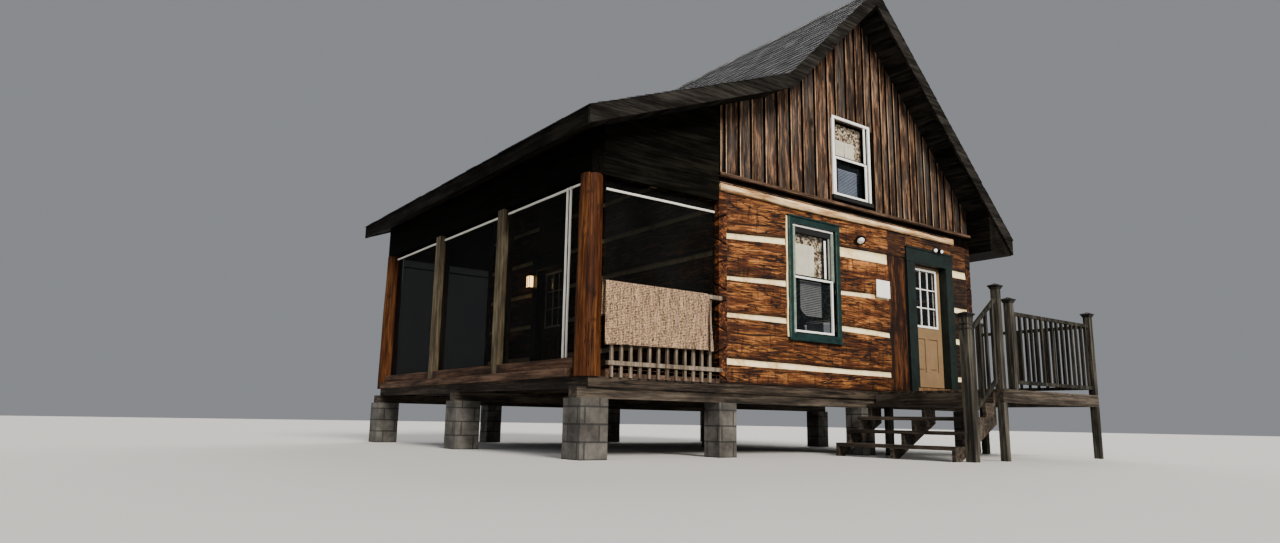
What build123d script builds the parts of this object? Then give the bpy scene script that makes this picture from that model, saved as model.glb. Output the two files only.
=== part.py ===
from build123d import *
import os

os.makedirs("parts", exist_ok=True)

# Driving dimensions, millimetres
gable_width = 6000
side_length = 7000
wall_thick = 150
porch_depth = 2150
underfloor = 950
floor_thick = 100

# Foundation
pier_side = 380
cabin_pier_side = 300
beam_height = 130
frame_height = 120
beam_width = 180
frame_recess = 120
joist_width = 60
joist_pitch = 450

# Log courses, from the bottom up, and the mortar joint between them
course_heights = [230, 560, 480, 550, 520]
upper_course = 540
least_course = 150
chink = 70
chink_depth = 24
log_bevel = 14
dovetail_half_height = 158
dovetail_slope = 0.35
dovetail_seam = 12
plate_height = 90
plate_board_proud = 40
plate_board_short = 510

# Roof: heights are above the underside of the logs
ridge_height = 6420
right_eave_height = 2810
right_overhang = 660
porch_eave_height = 3080
porch_eave_overhang = 240
break_inset = 950
roof_thick = 200
gable_overhang = 410
barge_thick = 40
barge_height = 280
porch_barge_height = 220
fascia_thick = 30
eave_box_drop = 290

# Gable board wall
gable_thick = 120
gable_set_back = 30
ledge_gap = 100
ledge_height = 40

# Windows: left edge, right edge, bottom, top
main_window = (1310, 2430, 680, 2460)
upper_window = (2350, 3280, 2940, 4270)
casing_width = 110
casing_proud = 30
sash_width = 55
sash_thick = 45
glass_thick = 8

# Doors
door_width = 860
door_height = 2030
door_thick = 45
door_corner_width = 820
porch_door_start = 4030
door_gap = 6
jamb_thick = 60
head_height = 150
door_sill = 20
hinge_radius = 7
hinge_height = 100
hinge_lifts = (180, 965, 1750)
door_post_width = 620
door_glass_side = 130
door_glass_top = 130
door_glass_height = 1000

# Porch
log_post_foot = 170
log_post_top = 140
square_post_width = 180
porch_bays = 3
header_bottom = 2450
header_width = 180
screen_thick = 12
screen_bottom = 230
end_board_thick = 60
rail_top = 1130
rail_depth = 60
baluster = 35
baluster_pitch = 140
cloth_thick = 8
seat_gap = 0.3
cloth_drop = 760
cloth_back_drop = 420

# Front deck and stair
deck_side_width = 1065
deck_right_inset = 50
deck_depth = 2020
deck_board = 40
deck_joist = 140
deck_joist_width = 50
deck_post = 95
deck_rail_height = 1080
tall_post_height = 1360
short_post_height = 1200
short_post_offset = 360
newel = 125
newel_offset = 725
newel_height = 900
riser_count = 5
tread_run = 250
tread_thick = 50
stringer_depth = 230
stair_rail_height = 1180
stair_bar_height = 1050
rail_bar = 40

# Lamps
flood_lamp_radius = 85
flood_lamp_height = 2310
flood_lamp_offset = 490
flood_base_width = 90
flood_base_depth = 60
twin_lamp_width = 260
twin_lamp_height = 90
twin_lamp_depth = 60
twin_lamp_offset = 160
twin_lamp_gap = 30
lantern_width = 160
lantern_depth = 140
lantern_height = 330
lantern_base_height = 1850
lantern_offset = 950

# Derived levels and the frame's centre
log_base = underfloor
floor_top = log_base + floor_thick
courses_top = log_base + sum(course_heights) + chink * (len(course_heights) - 1)
plate_top = courses_top + plate_height
porch_eave_x = -porch_depth - porch_eave_overhang
right_eave_x = gable_width + right_overhang
front_extent_y = -deck_depth + (deck_post - newel) / 2
back_rake_y = side_length + gable_overhang + barge_thick
mid_x = (porch_eave_x + right_eave_x) / 2
mid_y = (front_extent_y + back_rake_y) / 2
door_left = gable_width - door_corner_width - door_width
deck_left = door_left - deck_side_width
ridge_x = gable_width / 2
ridge_z = log_base + ridge_height
main_slope = (ridge_height - right_eave_height) / (right_eave_x - ridge_x)
break_z = ridge_z - main_slope * (ridge_x - break_inset)
porch_slope = (break_z - log_base - porch_eave_height) / (break_inset - porch_eave_x)


def right_roof(x):
    return ridge_z - main_slope * (x - ridge_x)


def porch_roof_top(x):
    return log_base + porch_eave_height + porch_slope * (x - porch_eave_x)


def at(x, y, z):
    return Location((x - mid_x, y - mid_y, z))


def log_profile(heights):
    near = []
    far = []
    level = log_base
    for step, height in enumerate(heights):
        top = level + height
        steps = [(log_bevel, level), (0, level + log_bevel), (0, top - log_bevel), (log_bevel, top)]
        if step < len(heights) - 1:
            steps += [(chink_depth, top), (chink_depth, top + chink)]
        near += steps
        far += [(wall_thick - depth, z) for depth, z in steps]
        level = top + chink
    return near + far[::-1]


def course_middles(heights):
    middles = []
    level = log_base
    for height in heights:
        middles.append(level + height / 2)
        level += height + chink
    return middles


def side_heights(top):
    # Side logs lie half a course off the front logs, as their ends dovetail between them
    heights = []
    foot = log_base
    for middle_level in course_middles(course_heights)[1:]:
        heights.append(middle_level - chink / 2 - foot)
        foot = middle_level + chink / 2
    while top - foot > upper_course + chink + least_course:
        heights.append(upper_course)
        foot += upper_course + chink
    return heights + [top - foot]


def seam_plane(x, y, z, rise_x, rise_y):
    # A sloping seam through one corner edge, rising by rise_x and rise_y for each step along X and Y
    return Plane(origin=(x - mid_x, y - mid_y, z), x_dir=(1, 0, rise_x), z_dir=(-rise_x, -rise_y, 1))


def front_log_plane(x, y):
    return Plane(origin=(x - mid_x, y - mid_y, 0), x_dir=(0, 1, 0), z_dir=(1, 0, 0))


def side_log_plane(x, y):
    return Plane(origin=(x - mid_x, y - mid_y, 0), x_dir=(1, 0, 0), z_dir=(0, -1, 0))


def cross_plane(y):
    return Plane(origin=(-mid_x, y - mid_y, 0), x_dir=(1, 0, 0), z_dir=(0, -1, 0))


def save(builder, name):
    builder.part.label = name
    export_step(builder.part, "parts/" + name + ".step")


# The side walls end just under the roof
right_top = right_roof(gable_width) - roof_thick - 5
left_top = porch_roof_top(0) - roof_thick - 5
right_courses = side_heights(right_top)
left_courses = side_heights(left_top)

opening_left = door_left - door_gap - jamb_thick
door_post_left = door_left - door_post_width
opening_right = door_left + door_width + door_gap + jamb_thick
porch_opening_start = porch_door_start - door_gap - jamb_thick
porch_opening_end = porch_door_start + door_width + door_gap + jamb_thick
door_foot = floor_top + door_sill
door_top = door_foot + door_height
opening_top = door_top + door_gap + head_height

low = (Align.MIN, Align.MIN, Align.MIN)
middle = (Align.CENTER, Align.CENTER, Align.MIN)

# Foundation piers
post_line_x = -porch_depth + log_post_foot + 10
post_front_y = log_post_foot - 40
post_back_y = side_length - post_front_y
bay = (post_back_y - post_front_y) / porch_bays
pier_top = underfloor - frame_height - beam_height
pier_rows = [post_front_y, side_length / 2, post_back_y]

with BuildPart() as foundation_piers:
    for y in pier_rows:
        with Locations(at(post_line_x, y, 0)):
            Box(pier_side, pier_side, pier_top, align=middle)
    for y in (cabin_pier_side / 2, side_length / 2, side_length - cabin_pier_side / 2):
        for x in (cabin_pier_side / 2, gable_width / 2, gable_width - cabin_pier_side / 2):
            with Locations(at(x, y, 0)):
                Box(cabin_pier_side, cabin_pier_side, pier_top, align=middle)
save(foundation_piers, "foundation_piers")

with BuildPart() as floor_beams:
    for y in pier_rows:
        with Locations(at(-porch_depth, y - beam_width / 2, pier_top)):
            Box(porch_depth + gable_width, beam_width, beam_height, align=low)
save(floor_beams, "floor_beams")

# Sill timbers lie under every wall and along the porch's edge, with joists between them
sill_left = -porch_depth + frame_recess
sill_z = pier_top + beam_height
with BuildPart() as floor_frame:
    for y in (0, side_length - wall_thick):
        with Locations(at(sill_left, y, sill_z)):
            Box(gable_width - sill_left, wall_thick, frame_height, align=low)
    for x in (sill_left, 0, gable_width - wall_thick):
        with Locations(at(x, 0, sill_z)):
            Box(wall_thick, side_length, frame_height, align=low)
    for start, stop in ((sill_left + wall_thick, 0), (wall_thick, gable_width - wall_thick)):
        spaces = int((stop - start) / joist_pitch)
        for step in range(1, spaces):
            x = start + (stop - start) * step / spaces - joist_width / 2
            with Locations(at(x, 0, sill_z)):
                Box(joist_width, side_length, frame_height, align=low)
save(floor_frame, "floor_frame")

with BuildPart() as cabin_floor:
    with Locations(at(wall_thick, wall_thick, log_base)):
        Box(gable_width - 2 * wall_thick, side_length - 2 * wall_thick, floor_thick, align=low)
    with Locations(at(opening_left, 0, log_base)):
        Box(opening_right - opening_left, 2 * wall_thick, floor_thick, align=low)
    with Locations(at(0, porch_opening_start, log_base)):
        Box(2 * wall_thick, porch_opening_end - porch_opening_start, floor_thick, align=low)
save(cabin_floor, "cabin_floor")

post_seat = 2 * log_post_foot + 20
with BuildPart() as porch_deck:
    with Locations(at(-porch_depth, 0, log_base)):
        Box(porch_depth, side_length, floor_thick, align=low)
    for y in (post_front_y, post_back_y):
        with Locations(at(post_line_x, y, log_base)):
            Box(post_seat, post_seat, floor_thick, align=middle, mode=Mode.SUBTRACT)
save(porch_deck, "porch_deck")

# Log walls: at each corner the ends of the front and side logs dovetail over each other
corner_core = wall_thick - 2 * chink_depth
front_middles = course_middles(course_heights)
joint_levels = [mid + (height + chink) / 2 for mid, height in zip(front_middles, course_heights[:-1])]
with BuildPart() as corner_posts:
    for x, inward_x in ((0, 1), (gable_width, -1)):
        for y, inward_y in ((0, 1), (side_length, -1)):
            corner_x = x + inward_x * wall_thick / 2
            corner_y = y + inward_y * wall_thick / 2
            with Locations(at(corner_x, corner_y, log_base)):
                Box(wall_thick, wall_thick, courses_top - log_base, align=middle)
            for level in joint_levels:
                for side in (1, -1):
                    rise_x = side * inward_x * dovetail_slope
                    rise_y = -side * inward_y * dovetail_slope
                    with BuildSketch(seam_plane(x, y, level + side * dovetail_half_height, rise_x, rise_y)):
                        Rectangle(3 * wall_thick, 3 * wall_thick)
                    extrude(amount=dovetail_seam, mode=Mode.SUBTRACT)
            with Locations(at(corner_x, corner_y, log_base)):
                Box(corner_core, corner_core, courses_top - log_base, align=middle)
save(corner_posts, "corner_posts")

window_height = main_window[3] - main_window[2]
window_width = main_window[1] - main_window[0]
window_mid_x = (main_window[0] + main_window[1]) / 2
window_base = log_base + main_window[2]
hole_width = window_width - 2 * casing_width + 40
hole_height = window_height - 2 * casing_width + 40
hole_base = window_base + casing_width - 20

with BuildPart() as front_wall:
    with BuildSketch(front_log_plane(wall_thick, 0)):
        with BuildLine():
            Polyline(log_profile(course_heights), close=True)
        make_face()
    extrude(amount=door_post_left - wall_thick)
    with Locations(at(window_mid_x, wall_thick / 2, hole_base)):
        Box(hole_width, 2 * wall_thick, hole_height, align=middle, mode=Mode.SUBTRACT)
    with BuildSketch(front_log_plane(opening_right, 0)):
        with BuildLine():
            Polyline(log_profile(course_heights), close=True)
        make_face()
    extrude(amount=gable_width - wall_thick - opening_right)
    with Locations(at(opening_right, 0, opening_top)):
        Box(gable_width, wall_thick, gable_width, align=low, mode=Mode.SUBTRACT)
save(front_wall, "front_wall")

with BuildPart() as door_post:
    with Locations(at(door_post_left, 0, log_base)):
        Box(opening_left - door_post_left, wall_thick, courses_top - log_base, align=low)
save(door_post, "door_post")

with BuildPart() as back_wall:
    with BuildSketch(front_log_plane(wall_thick, side_length - wall_thick)):
        with BuildLine():
            Polyline(log_profile(course_heights), close=True)
        make_face()
    extrude(amount=gable_width - 2 * wall_thick)
    with Locations(at(gable_width / 2, side_length - wall_thick / 2, hole_base)):
        Box(hole_width, 2 * wall_thick, hole_height, align=middle, mode=Mode.SUBTRACT)
save(back_wall, "back_wall")

right_wall_x = gable_width - wall_thick
with BuildPart() as right_wall:
    with BuildSketch(side_log_plane(right_wall_x, wall_thick)):
        with BuildLine():
            Polyline(log_profile(right_courses), close=True)
        make_face()
    extrude(amount=-(side_length - 2 * wall_thick))
    with Locations(at(right_wall_x + wall_thick / 2, side_length / 2, hole_base)):
        Box(2 * wall_thick, hole_width, hole_height, align=middle, mode=Mode.SUBTRACT)
save(right_wall, "right_wall")

with BuildPart() as left_wall:
    with BuildSketch(side_log_plane(0, wall_thick)):
        with BuildLine():
            Polyline(log_profile(left_courses), close=True)
        make_face()
    extrude(amount=-(porch_opening_start - wall_thick))
    with BuildSketch(side_log_plane(0, porch_opening_end)):
        with BuildLine():
            Polyline(log_profile(left_courses), close=True)
        make_face()
    extrude(amount=-(side_length - wall_thick - porch_opening_end))
save(left_wall, "left_wall")

over_door_length = gable_width - wall_thick - opening_left
with BuildPart() as walls_over_doors:
    with BuildSketch(side_log_plane(0, porch_opening_start)):
        with BuildLine():
            Polyline(log_profile(left_courses), close=True)
        make_face()
    extrude(amount=-(porch_opening_end - porch_opening_start))
    with Locations(at(-wall_thick, 0, 0)):
        Box(3 * wall_thick, side_length, opening_top, align=low, mode=Mode.SUBTRACT)
    with Locations(at(opening_left, log_bevel, opening_top)):
        Box(over_door_length, wall_thick - 2 * log_bevel, courses_top - opening_top, align=low)
save(walls_over_doors, "walls_over_doors")

with BuildPart() as plate_board:
    with Locations(at(0, -plate_board_proud, courses_top)):
        Box(gable_width - plate_board_short, plate_board_proud + gable_set_back, plate_height, align=low)
save(plate_board, "plate_board")

# Board gables, front and back
gable_points = [
    (0, courses_top),
    (gable_width, courses_top),
    (gable_width, right_roof(gable_width) - roof_thick),
    (ridge_x, ridge_z - roof_thick),
    (break_inset, break_z - roof_thick),
    (0, porch_roof_top(0) - roof_thick),
]
upper_width = upper_window[1] - upper_window[0]
upper_height = upper_window[3] - upper_window[2]
upper_mid_x = (upper_window[0] + upper_window[1]) / 2
upper_base = log_base + upper_window[2]
upper_hole_width = upper_width - casing_width
upper_hole_height = upper_height - casing_width
upper_hole_base = upper_base + casing_width / 2

with BuildPart() as front_gable:
    with BuildSketch(cross_plane(gable_set_back)):
        with BuildLine():
            Polyline(gable_points, close=True)
        make_face()
    extrude(amount=-gable_thick)
    with Locations(at(0, -gable_set_back, plate_top + ledge_gap)):
        Box(gable_width, 2 * gable_set_back, ledge_height, align=low)
    with Locations(at(upper_mid_x, gable_set_back, upper_hole_base)):
        Box(upper_hole_width, 4 * gable_thick, upper_hole_height, align=middle, mode=Mode.SUBTRACT)
save(front_gable, "front_gable")

with BuildPart() as back_gable:
    with BuildSketch(cross_plane(side_length - gable_set_back)):
        with BuildLine():
            Polyline(gable_points, close=True)
        make_face()
    extrude(amount=gable_thick)
    with Locations(at(0, side_length - gable_set_back, plate_top + ledge_gap)):
        Box(gable_width, 2 * gable_set_back, ledge_height, align=low)
    with Locations(at(upper_mid_x, side_length - gable_set_back, upper_hole_base)):
        Box(upper_hole_width, 4 * gable_thick, upper_hole_height, align=middle, mode=Mode.SUBTRACT)
save(back_gable, "back_gable")

# Windows
clear_width = hole_width
clear_height = hole_height
clear_base = hole_base
glass_width = clear_width - 2 * sash_width
glass_height = clear_height - 2 * sash_width
with BuildPart() as window_casings:
    for y in (-casing_proud / 2, side_length + casing_proud / 2):
        x = window_mid_x if y < 0 else gable_width / 2
        with Locations(at(x, y, window_base)):
            Box(window_width, casing_proud, window_height, align=middle)
        with Locations(at(x, y, clear_base)):
            Box(clear_width, casing_proud, clear_height, align=middle, mode=Mode.SUBTRACT)
    with Locations(at(gable_width + casing_proud / 2, side_length / 2, window_base)):
        Box(casing_proud, window_width, window_height, align=middle)
    with Locations(at(gable_width + casing_proud / 2, side_length / 2, clear_base)):
        Box(casing_proud, clear_width, clear_height, align=middle, mode=Mode.SUBTRACT)
save(window_casings, "window_casings")

pane_height = (glass_height - sash_width) / 2
with BuildPart() as window_sashes:
    for x, y in ((window_mid_x, wall_thick / 4), (gable_width / 2, side_length - wall_thick / 4)):
        with Locations(at(x, y, clear_base)):
            Box(clear_width, sash_thick, clear_height, align=middle)
        for lift in (sash_width, 2 * sash_width + pane_height):
            with Locations(at(x, y, clear_base + lift)):
                Box(glass_width, sash_thick, pane_height, align=middle, mode=Mode.SUBTRACT)
    with Locations(at(gable_width - wall_thick / 4, side_length / 2, clear_base)):
        Box(sash_thick, clear_width, clear_height, align=middle)
    for lift in (sash_width, 2 * sash_width + pane_height):
        with Locations(at(gable_width - wall_thick / 4, side_length / 2, clear_base + lift)):
            Box(sash_thick, glass_width, pane_height, align=middle, mode=Mode.SUBTRACT)
save(window_sashes, "window_sashes")

upper_clear_width = upper_hole_width
upper_clear_height = upper_hole_height
upper_clear_base = upper_hole_base
upper_glass_width = upper_clear_width - 2 * sash_width
upper_pane = (upper_clear_height - 3 * sash_width) / 2
upper_front_y = gable_set_back + gable_thick / 2
upper_back_y = side_length - upper_front_y
with BuildPart() as upper_windows:
    for y, out in ((upper_front_y, -1), (upper_back_y, 1)):
        with Locations(at(upper_mid_x, y, upper_clear_base)):
            Box(upper_clear_width, gable_thick, upper_clear_height, align=middle)
        with Locations(at(upper_mid_x, y + out * (gable_thick / 2 + casing_proud / 2), upper_base)):
            Box(upper_width, casing_proud, upper_height, align=middle)
        for lift in (sash_width, 2 * sash_width + upper_pane):
            with Locations(at(upper_mid_x, y, upper_clear_base + lift)):
                Box(upper_glass_width, 3 * gable_thick, upper_pane, align=middle, mode=Mode.SUBTRACT)
save(upper_windows, "upper_windows")

with BuildPart() as window_glass:
    for x, y in ((window_mid_x, wall_thick / 4), (gable_width / 2, side_length - wall_thick / 4)):
        for lift in (sash_width, 2 * sash_width + pane_height):
            with Locations(at(x, y, clear_base + lift)):
                Box(glass_width, glass_thick, pane_height, align=middle)
    for lift in (sash_width, 2 * sash_width + pane_height):
        with Locations(at(gable_width - wall_thick / 4, side_length / 2, clear_base + lift)):
            Box(glass_thick, glass_width, pane_height, align=middle)
    for y in (upper_front_y, upper_back_y):
        for lift in (sash_width, 2 * sash_width + upper_pane):
            with Locations(at(upper_mid_x, y, upper_clear_base + lift)):
                Box(upper_glass_width, glass_thick, upper_pane, align=middle)
save(window_glass, "window_glass")

# Doors: each leaf is set flush with the room side and swings inward
leaf_back = wall_thick
leaf_front = wall_thick - door_thick
door_glass_width = door_width - 2 * door_glass_side
door_glass_base = door_top - door_glass_top - door_glass_height
door_mid_x = door_left + door_width / 2
porch_door_mid_y = porch_door_start + door_width / 2
door_pin_x = door_left + door_width + door_gap / 2
porch_pin_y = porch_door_start + door_width + door_gap / 2
pin_line = wall_thick + hinge_radius

with BuildPart() as front_door:
    with Locations(at(door_left, leaf_front, door_foot)):
        Box(door_width, door_thick, door_height, align=low)
    with Locations(at(door_mid_x, leaf_front, door_glass_base)):
        Box(door_glass_width, 4 * door_thick, door_glass_height, align=middle, mode=Mode.SUBTRACT)
    for lift in hinge_lifts:
        with Locations(at(door_pin_x - hinge_radius - seat_gap - 40, wall_thick, door_foot + lift)):
            Box(40, 2 * hinge_radius, hinge_height, align=low)
save(front_door, "front_door")

with BuildPart() as porch_door:
    with Locations(at(leaf_front, porch_door_start, door_foot)):
        Box(door_thick, door_width, door_height, align=low)
    with Locations(at(leaf_front, porch_door_mid_y, door_glass_base)):
        Box(4 * door_thick, door_glass_width, door_glass_height, align=middle, mode=Mode.SUBTRACT)
    for lift in hinge_lifts:
        with Locations(at(wall_thick, porch_pin_y - hinge_radius - seat_gap - 40, door_foot + lift)):
            Box(2 * hinge_radius, 40, hinge_height, align=low)
save(porch_door, "porch_door")

jamb_depth = wall_thick + casing_proud
jamb_height = opening_top - head_height - floor_top
with BuildPart() as door_jambs:
    for x in (opening_left, opening_right - jamb_thick):
        with Locations(at(x, -casing_proud, floor_top)):
            Box(jamb_thick, jamb_depth, jamb_height, align=low)
    for y in (porch_opening_start, porch_opening_end - jamb_thick):
        with Locations(at(-casing_proud, y, floor_top)):
            Box(jamb_depth, jamb_thick, jamb_height, align=low)
save(door_jambs, "door_jambs")

# Hinge knuckles stand on the jambs' room side; each leaf's straps end just short of them
with BuildPart() as door_hinges:
    for lift in hinge_lifts:
        with Locations(at(door_pin_x, pin_line, door_foot + lift)):
            Cylinder(hinge_radius, hinge_height, align=middle)
        with Locations(at(door_pin_x + door_gap / 2, wall_thick, door_foot + lift)):
            Box(40, 5, hinge_height, align=low)
        with Locations(at(pin_line, porch_pin_y, door_foot + lift)):
            Cylinder(hinge_radius, hinge_height, align=middle)
        with Locations(at(wall_thick, porch_pin_y + door_gap / 2, door_foot + lift)):
            Box(5, 40, hinge_height, align=low)
save(door_hinges, "door_hinges")

with BuildPart() as door_heads:
    with Locations(at(opening_left, -casing_proud, opening_top - head_height)):
        Box(opening_right - opening_left, jamb_depth, head_height, align=low)
    with Locations(at(-casing_proud, porch_opening_start, opening_top - head_height)):
        Box(jamb_depth, porch_opening_end - porch_opening_start, head_height, align=low)
save(door_heads, "door_heads")

# Roof slabs
roof_front = -gable_overhang
roof_length = side_length + 2 * gable_overhang

with BuildPart() as roof_right:
    with BuildSketch(cross_plane(roof_front)):
        with BuildLine():
            Polyline(
                [
                    (ridge_x, ridge_z),
                    (right_eave_x, right_roof(right_eave_x)),
                    (right_eave_x, right_roof(right_eave_x) - roof_thick),
                    (ridge_x, ridge_z - roof_thick),
                ],
                close=True,
            )
        make_face()
    extrude(amount=-roof_length)
save(roof_right, "roof_right")

with BuildPart() as roof_left:
    with BuildSketch(cross_plane(roof_front)):
        with BuildLine():
            Polyline(
                [
                    (ridge_x, ridge_z),
                    (break_inset, break_z),
                    (break_inset, break_z - roof_thick),
                    (ridge_x, ridge_z - roof_thick),
                ],
                close=True,
            )
        make_face()
    extrude(amount=-roof_length)
save(roof_left, "roof_left")

slab_eave_x = porch_eave_x + fascia_thick
with BuildPart() as porch_roof:
    with BuildSketch(cross_plane(roof_front)):
        with BuildLine():
            Polyline(
                [
                    (break_inset, break_z),
                    (slab_eave_x, porch_roof_top(slab_eave_x)),
                    (slab_eave_x, porch_roof_top(slab_eave_x) - roof_thick),
                    (break_inset, break_z - roof_thick),
                ],
                close=True,
            )
        make_face()
    extrude(amount=-roof_length)
save(porch_roof, "porch_roof")

# Boards along the sloping ends of the roof
with BuildPart() as right_barge_boards:
    for y, depth in ((roof_front, barge_thick), (roof_front + roof_length, -barge_thick)):
        with BuildSketch(cross_plane(y)):
            with BuildLine():
                Polyline(
                    [
                        (ridge_x, ridge_z),
                        (right_eave_x, right_roof(right_eave_x)),
                        (right_eave_x, right_roof(right_eave_x) - barge_height),
                        (ridge_x, ridge_z - barge_height),
                    ],
                    close=True,
                )
            make_face()
        extrude(amount=depth)
save(right_barge_boards, "right_barge_boards")

with BuildPart() as left_barge_boards:
    for y, depth in ((roof_front, barge_thick), (roof_front + roof_length, -barge_thick)):
        with BuildSketch(cross_plane(y)):
            with BuildLine():
                Polyline(
                    [
                        (ridge_x, ridge_z),
                        (break_inset, break_z),
                        (break_inset, break_z - barge_height),
                        (ridge_x, ridge_z - barge_height),
                    ],
                    close=True,
                )
            make_face()
        extrude(amount=depth)
save(left_barge_boards, "left_barge_boards")

with BuildPart() as porch_barge_boards:
    for y, depth in ((roof_front, barge_thick), (roof_front + roof_length, -barge_thick)):
        with BuildSketch(cross_plane(y)):
            with BuildLine():
                Polyline(
                    [
                        (break_inset, break_z),
                        (porch_eave_x, porch_roof_top(porch_eave_x)),
                        (porch_eave_x, porch_roof_top(porch_eave_x) - porch_barge_height),
                        (break_inset, break_z - porch_barge_height),
                    ],
                    close=True,
                )
            make_face()
        extrude(amount=depth)
save(porch_barge_boards, "porch_barge_boards")

eave_bottom = log_base + right_eave_height - eave_box_drop
with BuildPart() as right_eave_box:
    with BuildSketch(cross_plane(roof_front)):
        with BuildLine():
            Polyline(
                [
                    (gable_width, eave_bottom),
                    (right_eave_x, eave_bottom),
                    (right_eave_x, right_roof(right_eave_x) - roof_thick),
                    (gable_width, right_roof(gable_width) - roof_thick),
                ],
                close=True,
            )
        make_face()
    extrude(amount=-roof_length)
save(right_eave_box, "right_eave_box")

with BuildPart() as porch_fascia:
    with Locations(at(porch_eave_x, roof_front, porch_roof_top(porch_eave_x) - porch_barge_height)):
        Box(fascia_thick, roof_length, porch_barge_height, align=low)
save(porch_fascia, "porch_fascia")

# Screened porch
header_z = log_base + header_bottom
with BuildPart() as porch_log_posts:
    for y in (post_front_y, post_back_y):
        with Locations(at(post_line_x, y, log_base)):
            Cone(log_post_foot, log_post_top, header_z - log_base, align=middle)
save(porch_log_posts, "porch_log_posts")

with BuildPart() as porch_square_posts:
    for step in range(1, porch_bays):
        with Locations(at(post_line_x, post_front_y + step * bay, floor_top)):
            Box(square_post_width, square_post_width, header_z - floor_top, align=middle)
save(porch_square_posts, "porch_square_posts")

header_x = post_line_x - header_width / 2
header_height = porch_roof_top(header_x) - roof_thick - header_z
with BuildPart() as porch_header:
    with Locations(at(header_x, 0, header_z)):
        Box(header_width, side_length, header_height, align=low)
save(porch_header, "porch_header")

end_left = header_x + header_width
with BuildPart() as porch_end_boards:
    for y in (0, side_length - end_board_thick):
        with BuildSketch(cross_plane(y)):
            with BuildLine():
                Polyline(
                    [
                        (end_left, header_z),
                        (0, header_z),
                        (0, porch_roof_top(0) - roof_thick),
                        (end_left, porch_roof_top(end_left) - roof_thick),
                    ],
                    close=True,
                )
            make_face()
        extrude(amount=-end_board_thick)
save(porch_end_boards, "porch_end_boards")

post_edge = log_post_foot + 5
screen_x = post_line_x
sill_base = floor_top
sill_top = log_base + screen_bottom
with BuildPart() as porch_sill_boards:
    for step in range(porch_bays):
        start = post_front_y + step * bay + (post_edge if step == 0 else square_post_width / 2)
        stop = post_front_y + (step + 1) * bay
        stop -= post_edge if step == porch_bays - 1 else square_post_width / 2
        with Locations(at(screen_x - square_post_width / 2, start, sill_base)):
            Box(square_post_width, stop - start, sill_top - sill_base, align=low)
save(porch_sill_boards, "porch_sill_boards")

side_screen_height = header_z - sill_top
end_screen_y = end_board_thick / 2 + 60
end_screen_left = post_line_x + post_edge
with BuildPart() as porch_screens:
    for step in range(porch_bays):
        start = post_front_y + step * bay + (post_edge if step == 0 else square_post_width / 2)
        stop = post_front_y + (step + 1) * bay
        stop -= post_edge if step == porch_bays - 1 else square_post_width / 2
        with Locations(at(screen_x - screen_thick / 2, start, sill_top)):
            Box(screen_thick, stop - start, side_screen_height, align=low)
    for y in (end_screen_y, side_length - end_screen_y):
        with Locations(at(end_screen_left, y - screen_thick / 2, floor_top)):
            Box(-end_screen_left, screen_thick, header_z - floor_top, align=low)
save(porch_screens, "porch_screens")

# Rail with upright bars across the gable end of the porch, and the cloth over it
rail_left = end_screen_left
rail_y = -rail_depth
rail_z = log_base + rail_top
bar_count = int(-rail_left / baluster_pitch)
with BuildPart() as porch_rail:
    with Locations(at(rail_left, rail_y, rail_z - 50)):
        Box(-rail_left, rail_depth, 50, align=low)
    with Locations(at(rail_left, rail_y, floor_top + 40)):
        Box(-rail_left, rail_depth, 50, align=low)
    for step in range(bar_count):
        x = rail_left + baluster_pitch * (step + 0.5)
        with Locations(at(x, -baluster / 2, log_base)):
            Box(baluster, baluster, rail_z - log_base - 10, align=middle)
save(porch_rail, "porch_rail")

cloth_left = rail_left + 15
cloth_right = -60
cloth_width = cloth_right - cloth_left
with BuildPart() as hanging_cloth:
    with Locations(at(cloth_left, rail_y - cloth_thick - seat_gap, rail_z + seat_gap)):
        Box(cloth_width, rail_depth + 2 * cloth_thick + 2 * seat_gap, cloth_thick, align=low)
    with Locations(at(cloth_left, rail_y - cloth_thick - seat_gap, rail_z + seat_gap - cloth_drop)):
        Box(cloth_width, cloth_thick, cloth_drop, align=low)
    with Locations(at(cloth_left, seat_gap, rail_z + seat_gap - cloth_back_drop)):
        Box(cloth_width, cloth_thick, cloth_back_drop, align=low)
save(hanging_cloth, "hanging_cloth")

# Front deck, its posts, stair and rails
deck_right = gable_width - deck_right_inset
deck_top = log_base
deck_front = -deck_depth
deck_back = 0
deck_length = deck_right - deck_left
with BuildPart() as front_deck:
    with Locations(at(deck_left, deck_front, deck_top - deck_board)):
        Box(deck_length, deck_back - deck_front, deck_board, align=low)
save(front_deck, "front_deck")

frame_z = deck_top - deck_board - deck_joist
post_in = deck_post / 2
back_post_y = deck_back - 150
deck_spaces = int((deck_length - deck_joist_width) / joist_pitch)
with BuildPart() as deck_frame:
    for y in (deck_front, deck_back - deck_joist_width):
        with Locations(at(deck_left, y, frame_z)):
            Box(deck_length, deck_joist_width, deck_joist, align=low)
    for step in range(deck_spaces + 1):
        x = deck_left + (deck_length - deck_joist_width) * step / deck_spaces
        with Locations(at(x, deck_front, frame_z)):
            Box(deck_joist_width, deck_back - deck_front, deck_joist, align=low)
save(deck_frame, "deck_frame")

with BuildPart() as deck_posts:
    for x in (deck_left + post_in, deck_right - post_in):
        for y in (deck_front + post_in, back_post_y):
            with Locations(at(x, y, 0)):
                Box(deck_post, deck_post, frame_z, align=middle)
save(deck_posts, "deck_posts")

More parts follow.
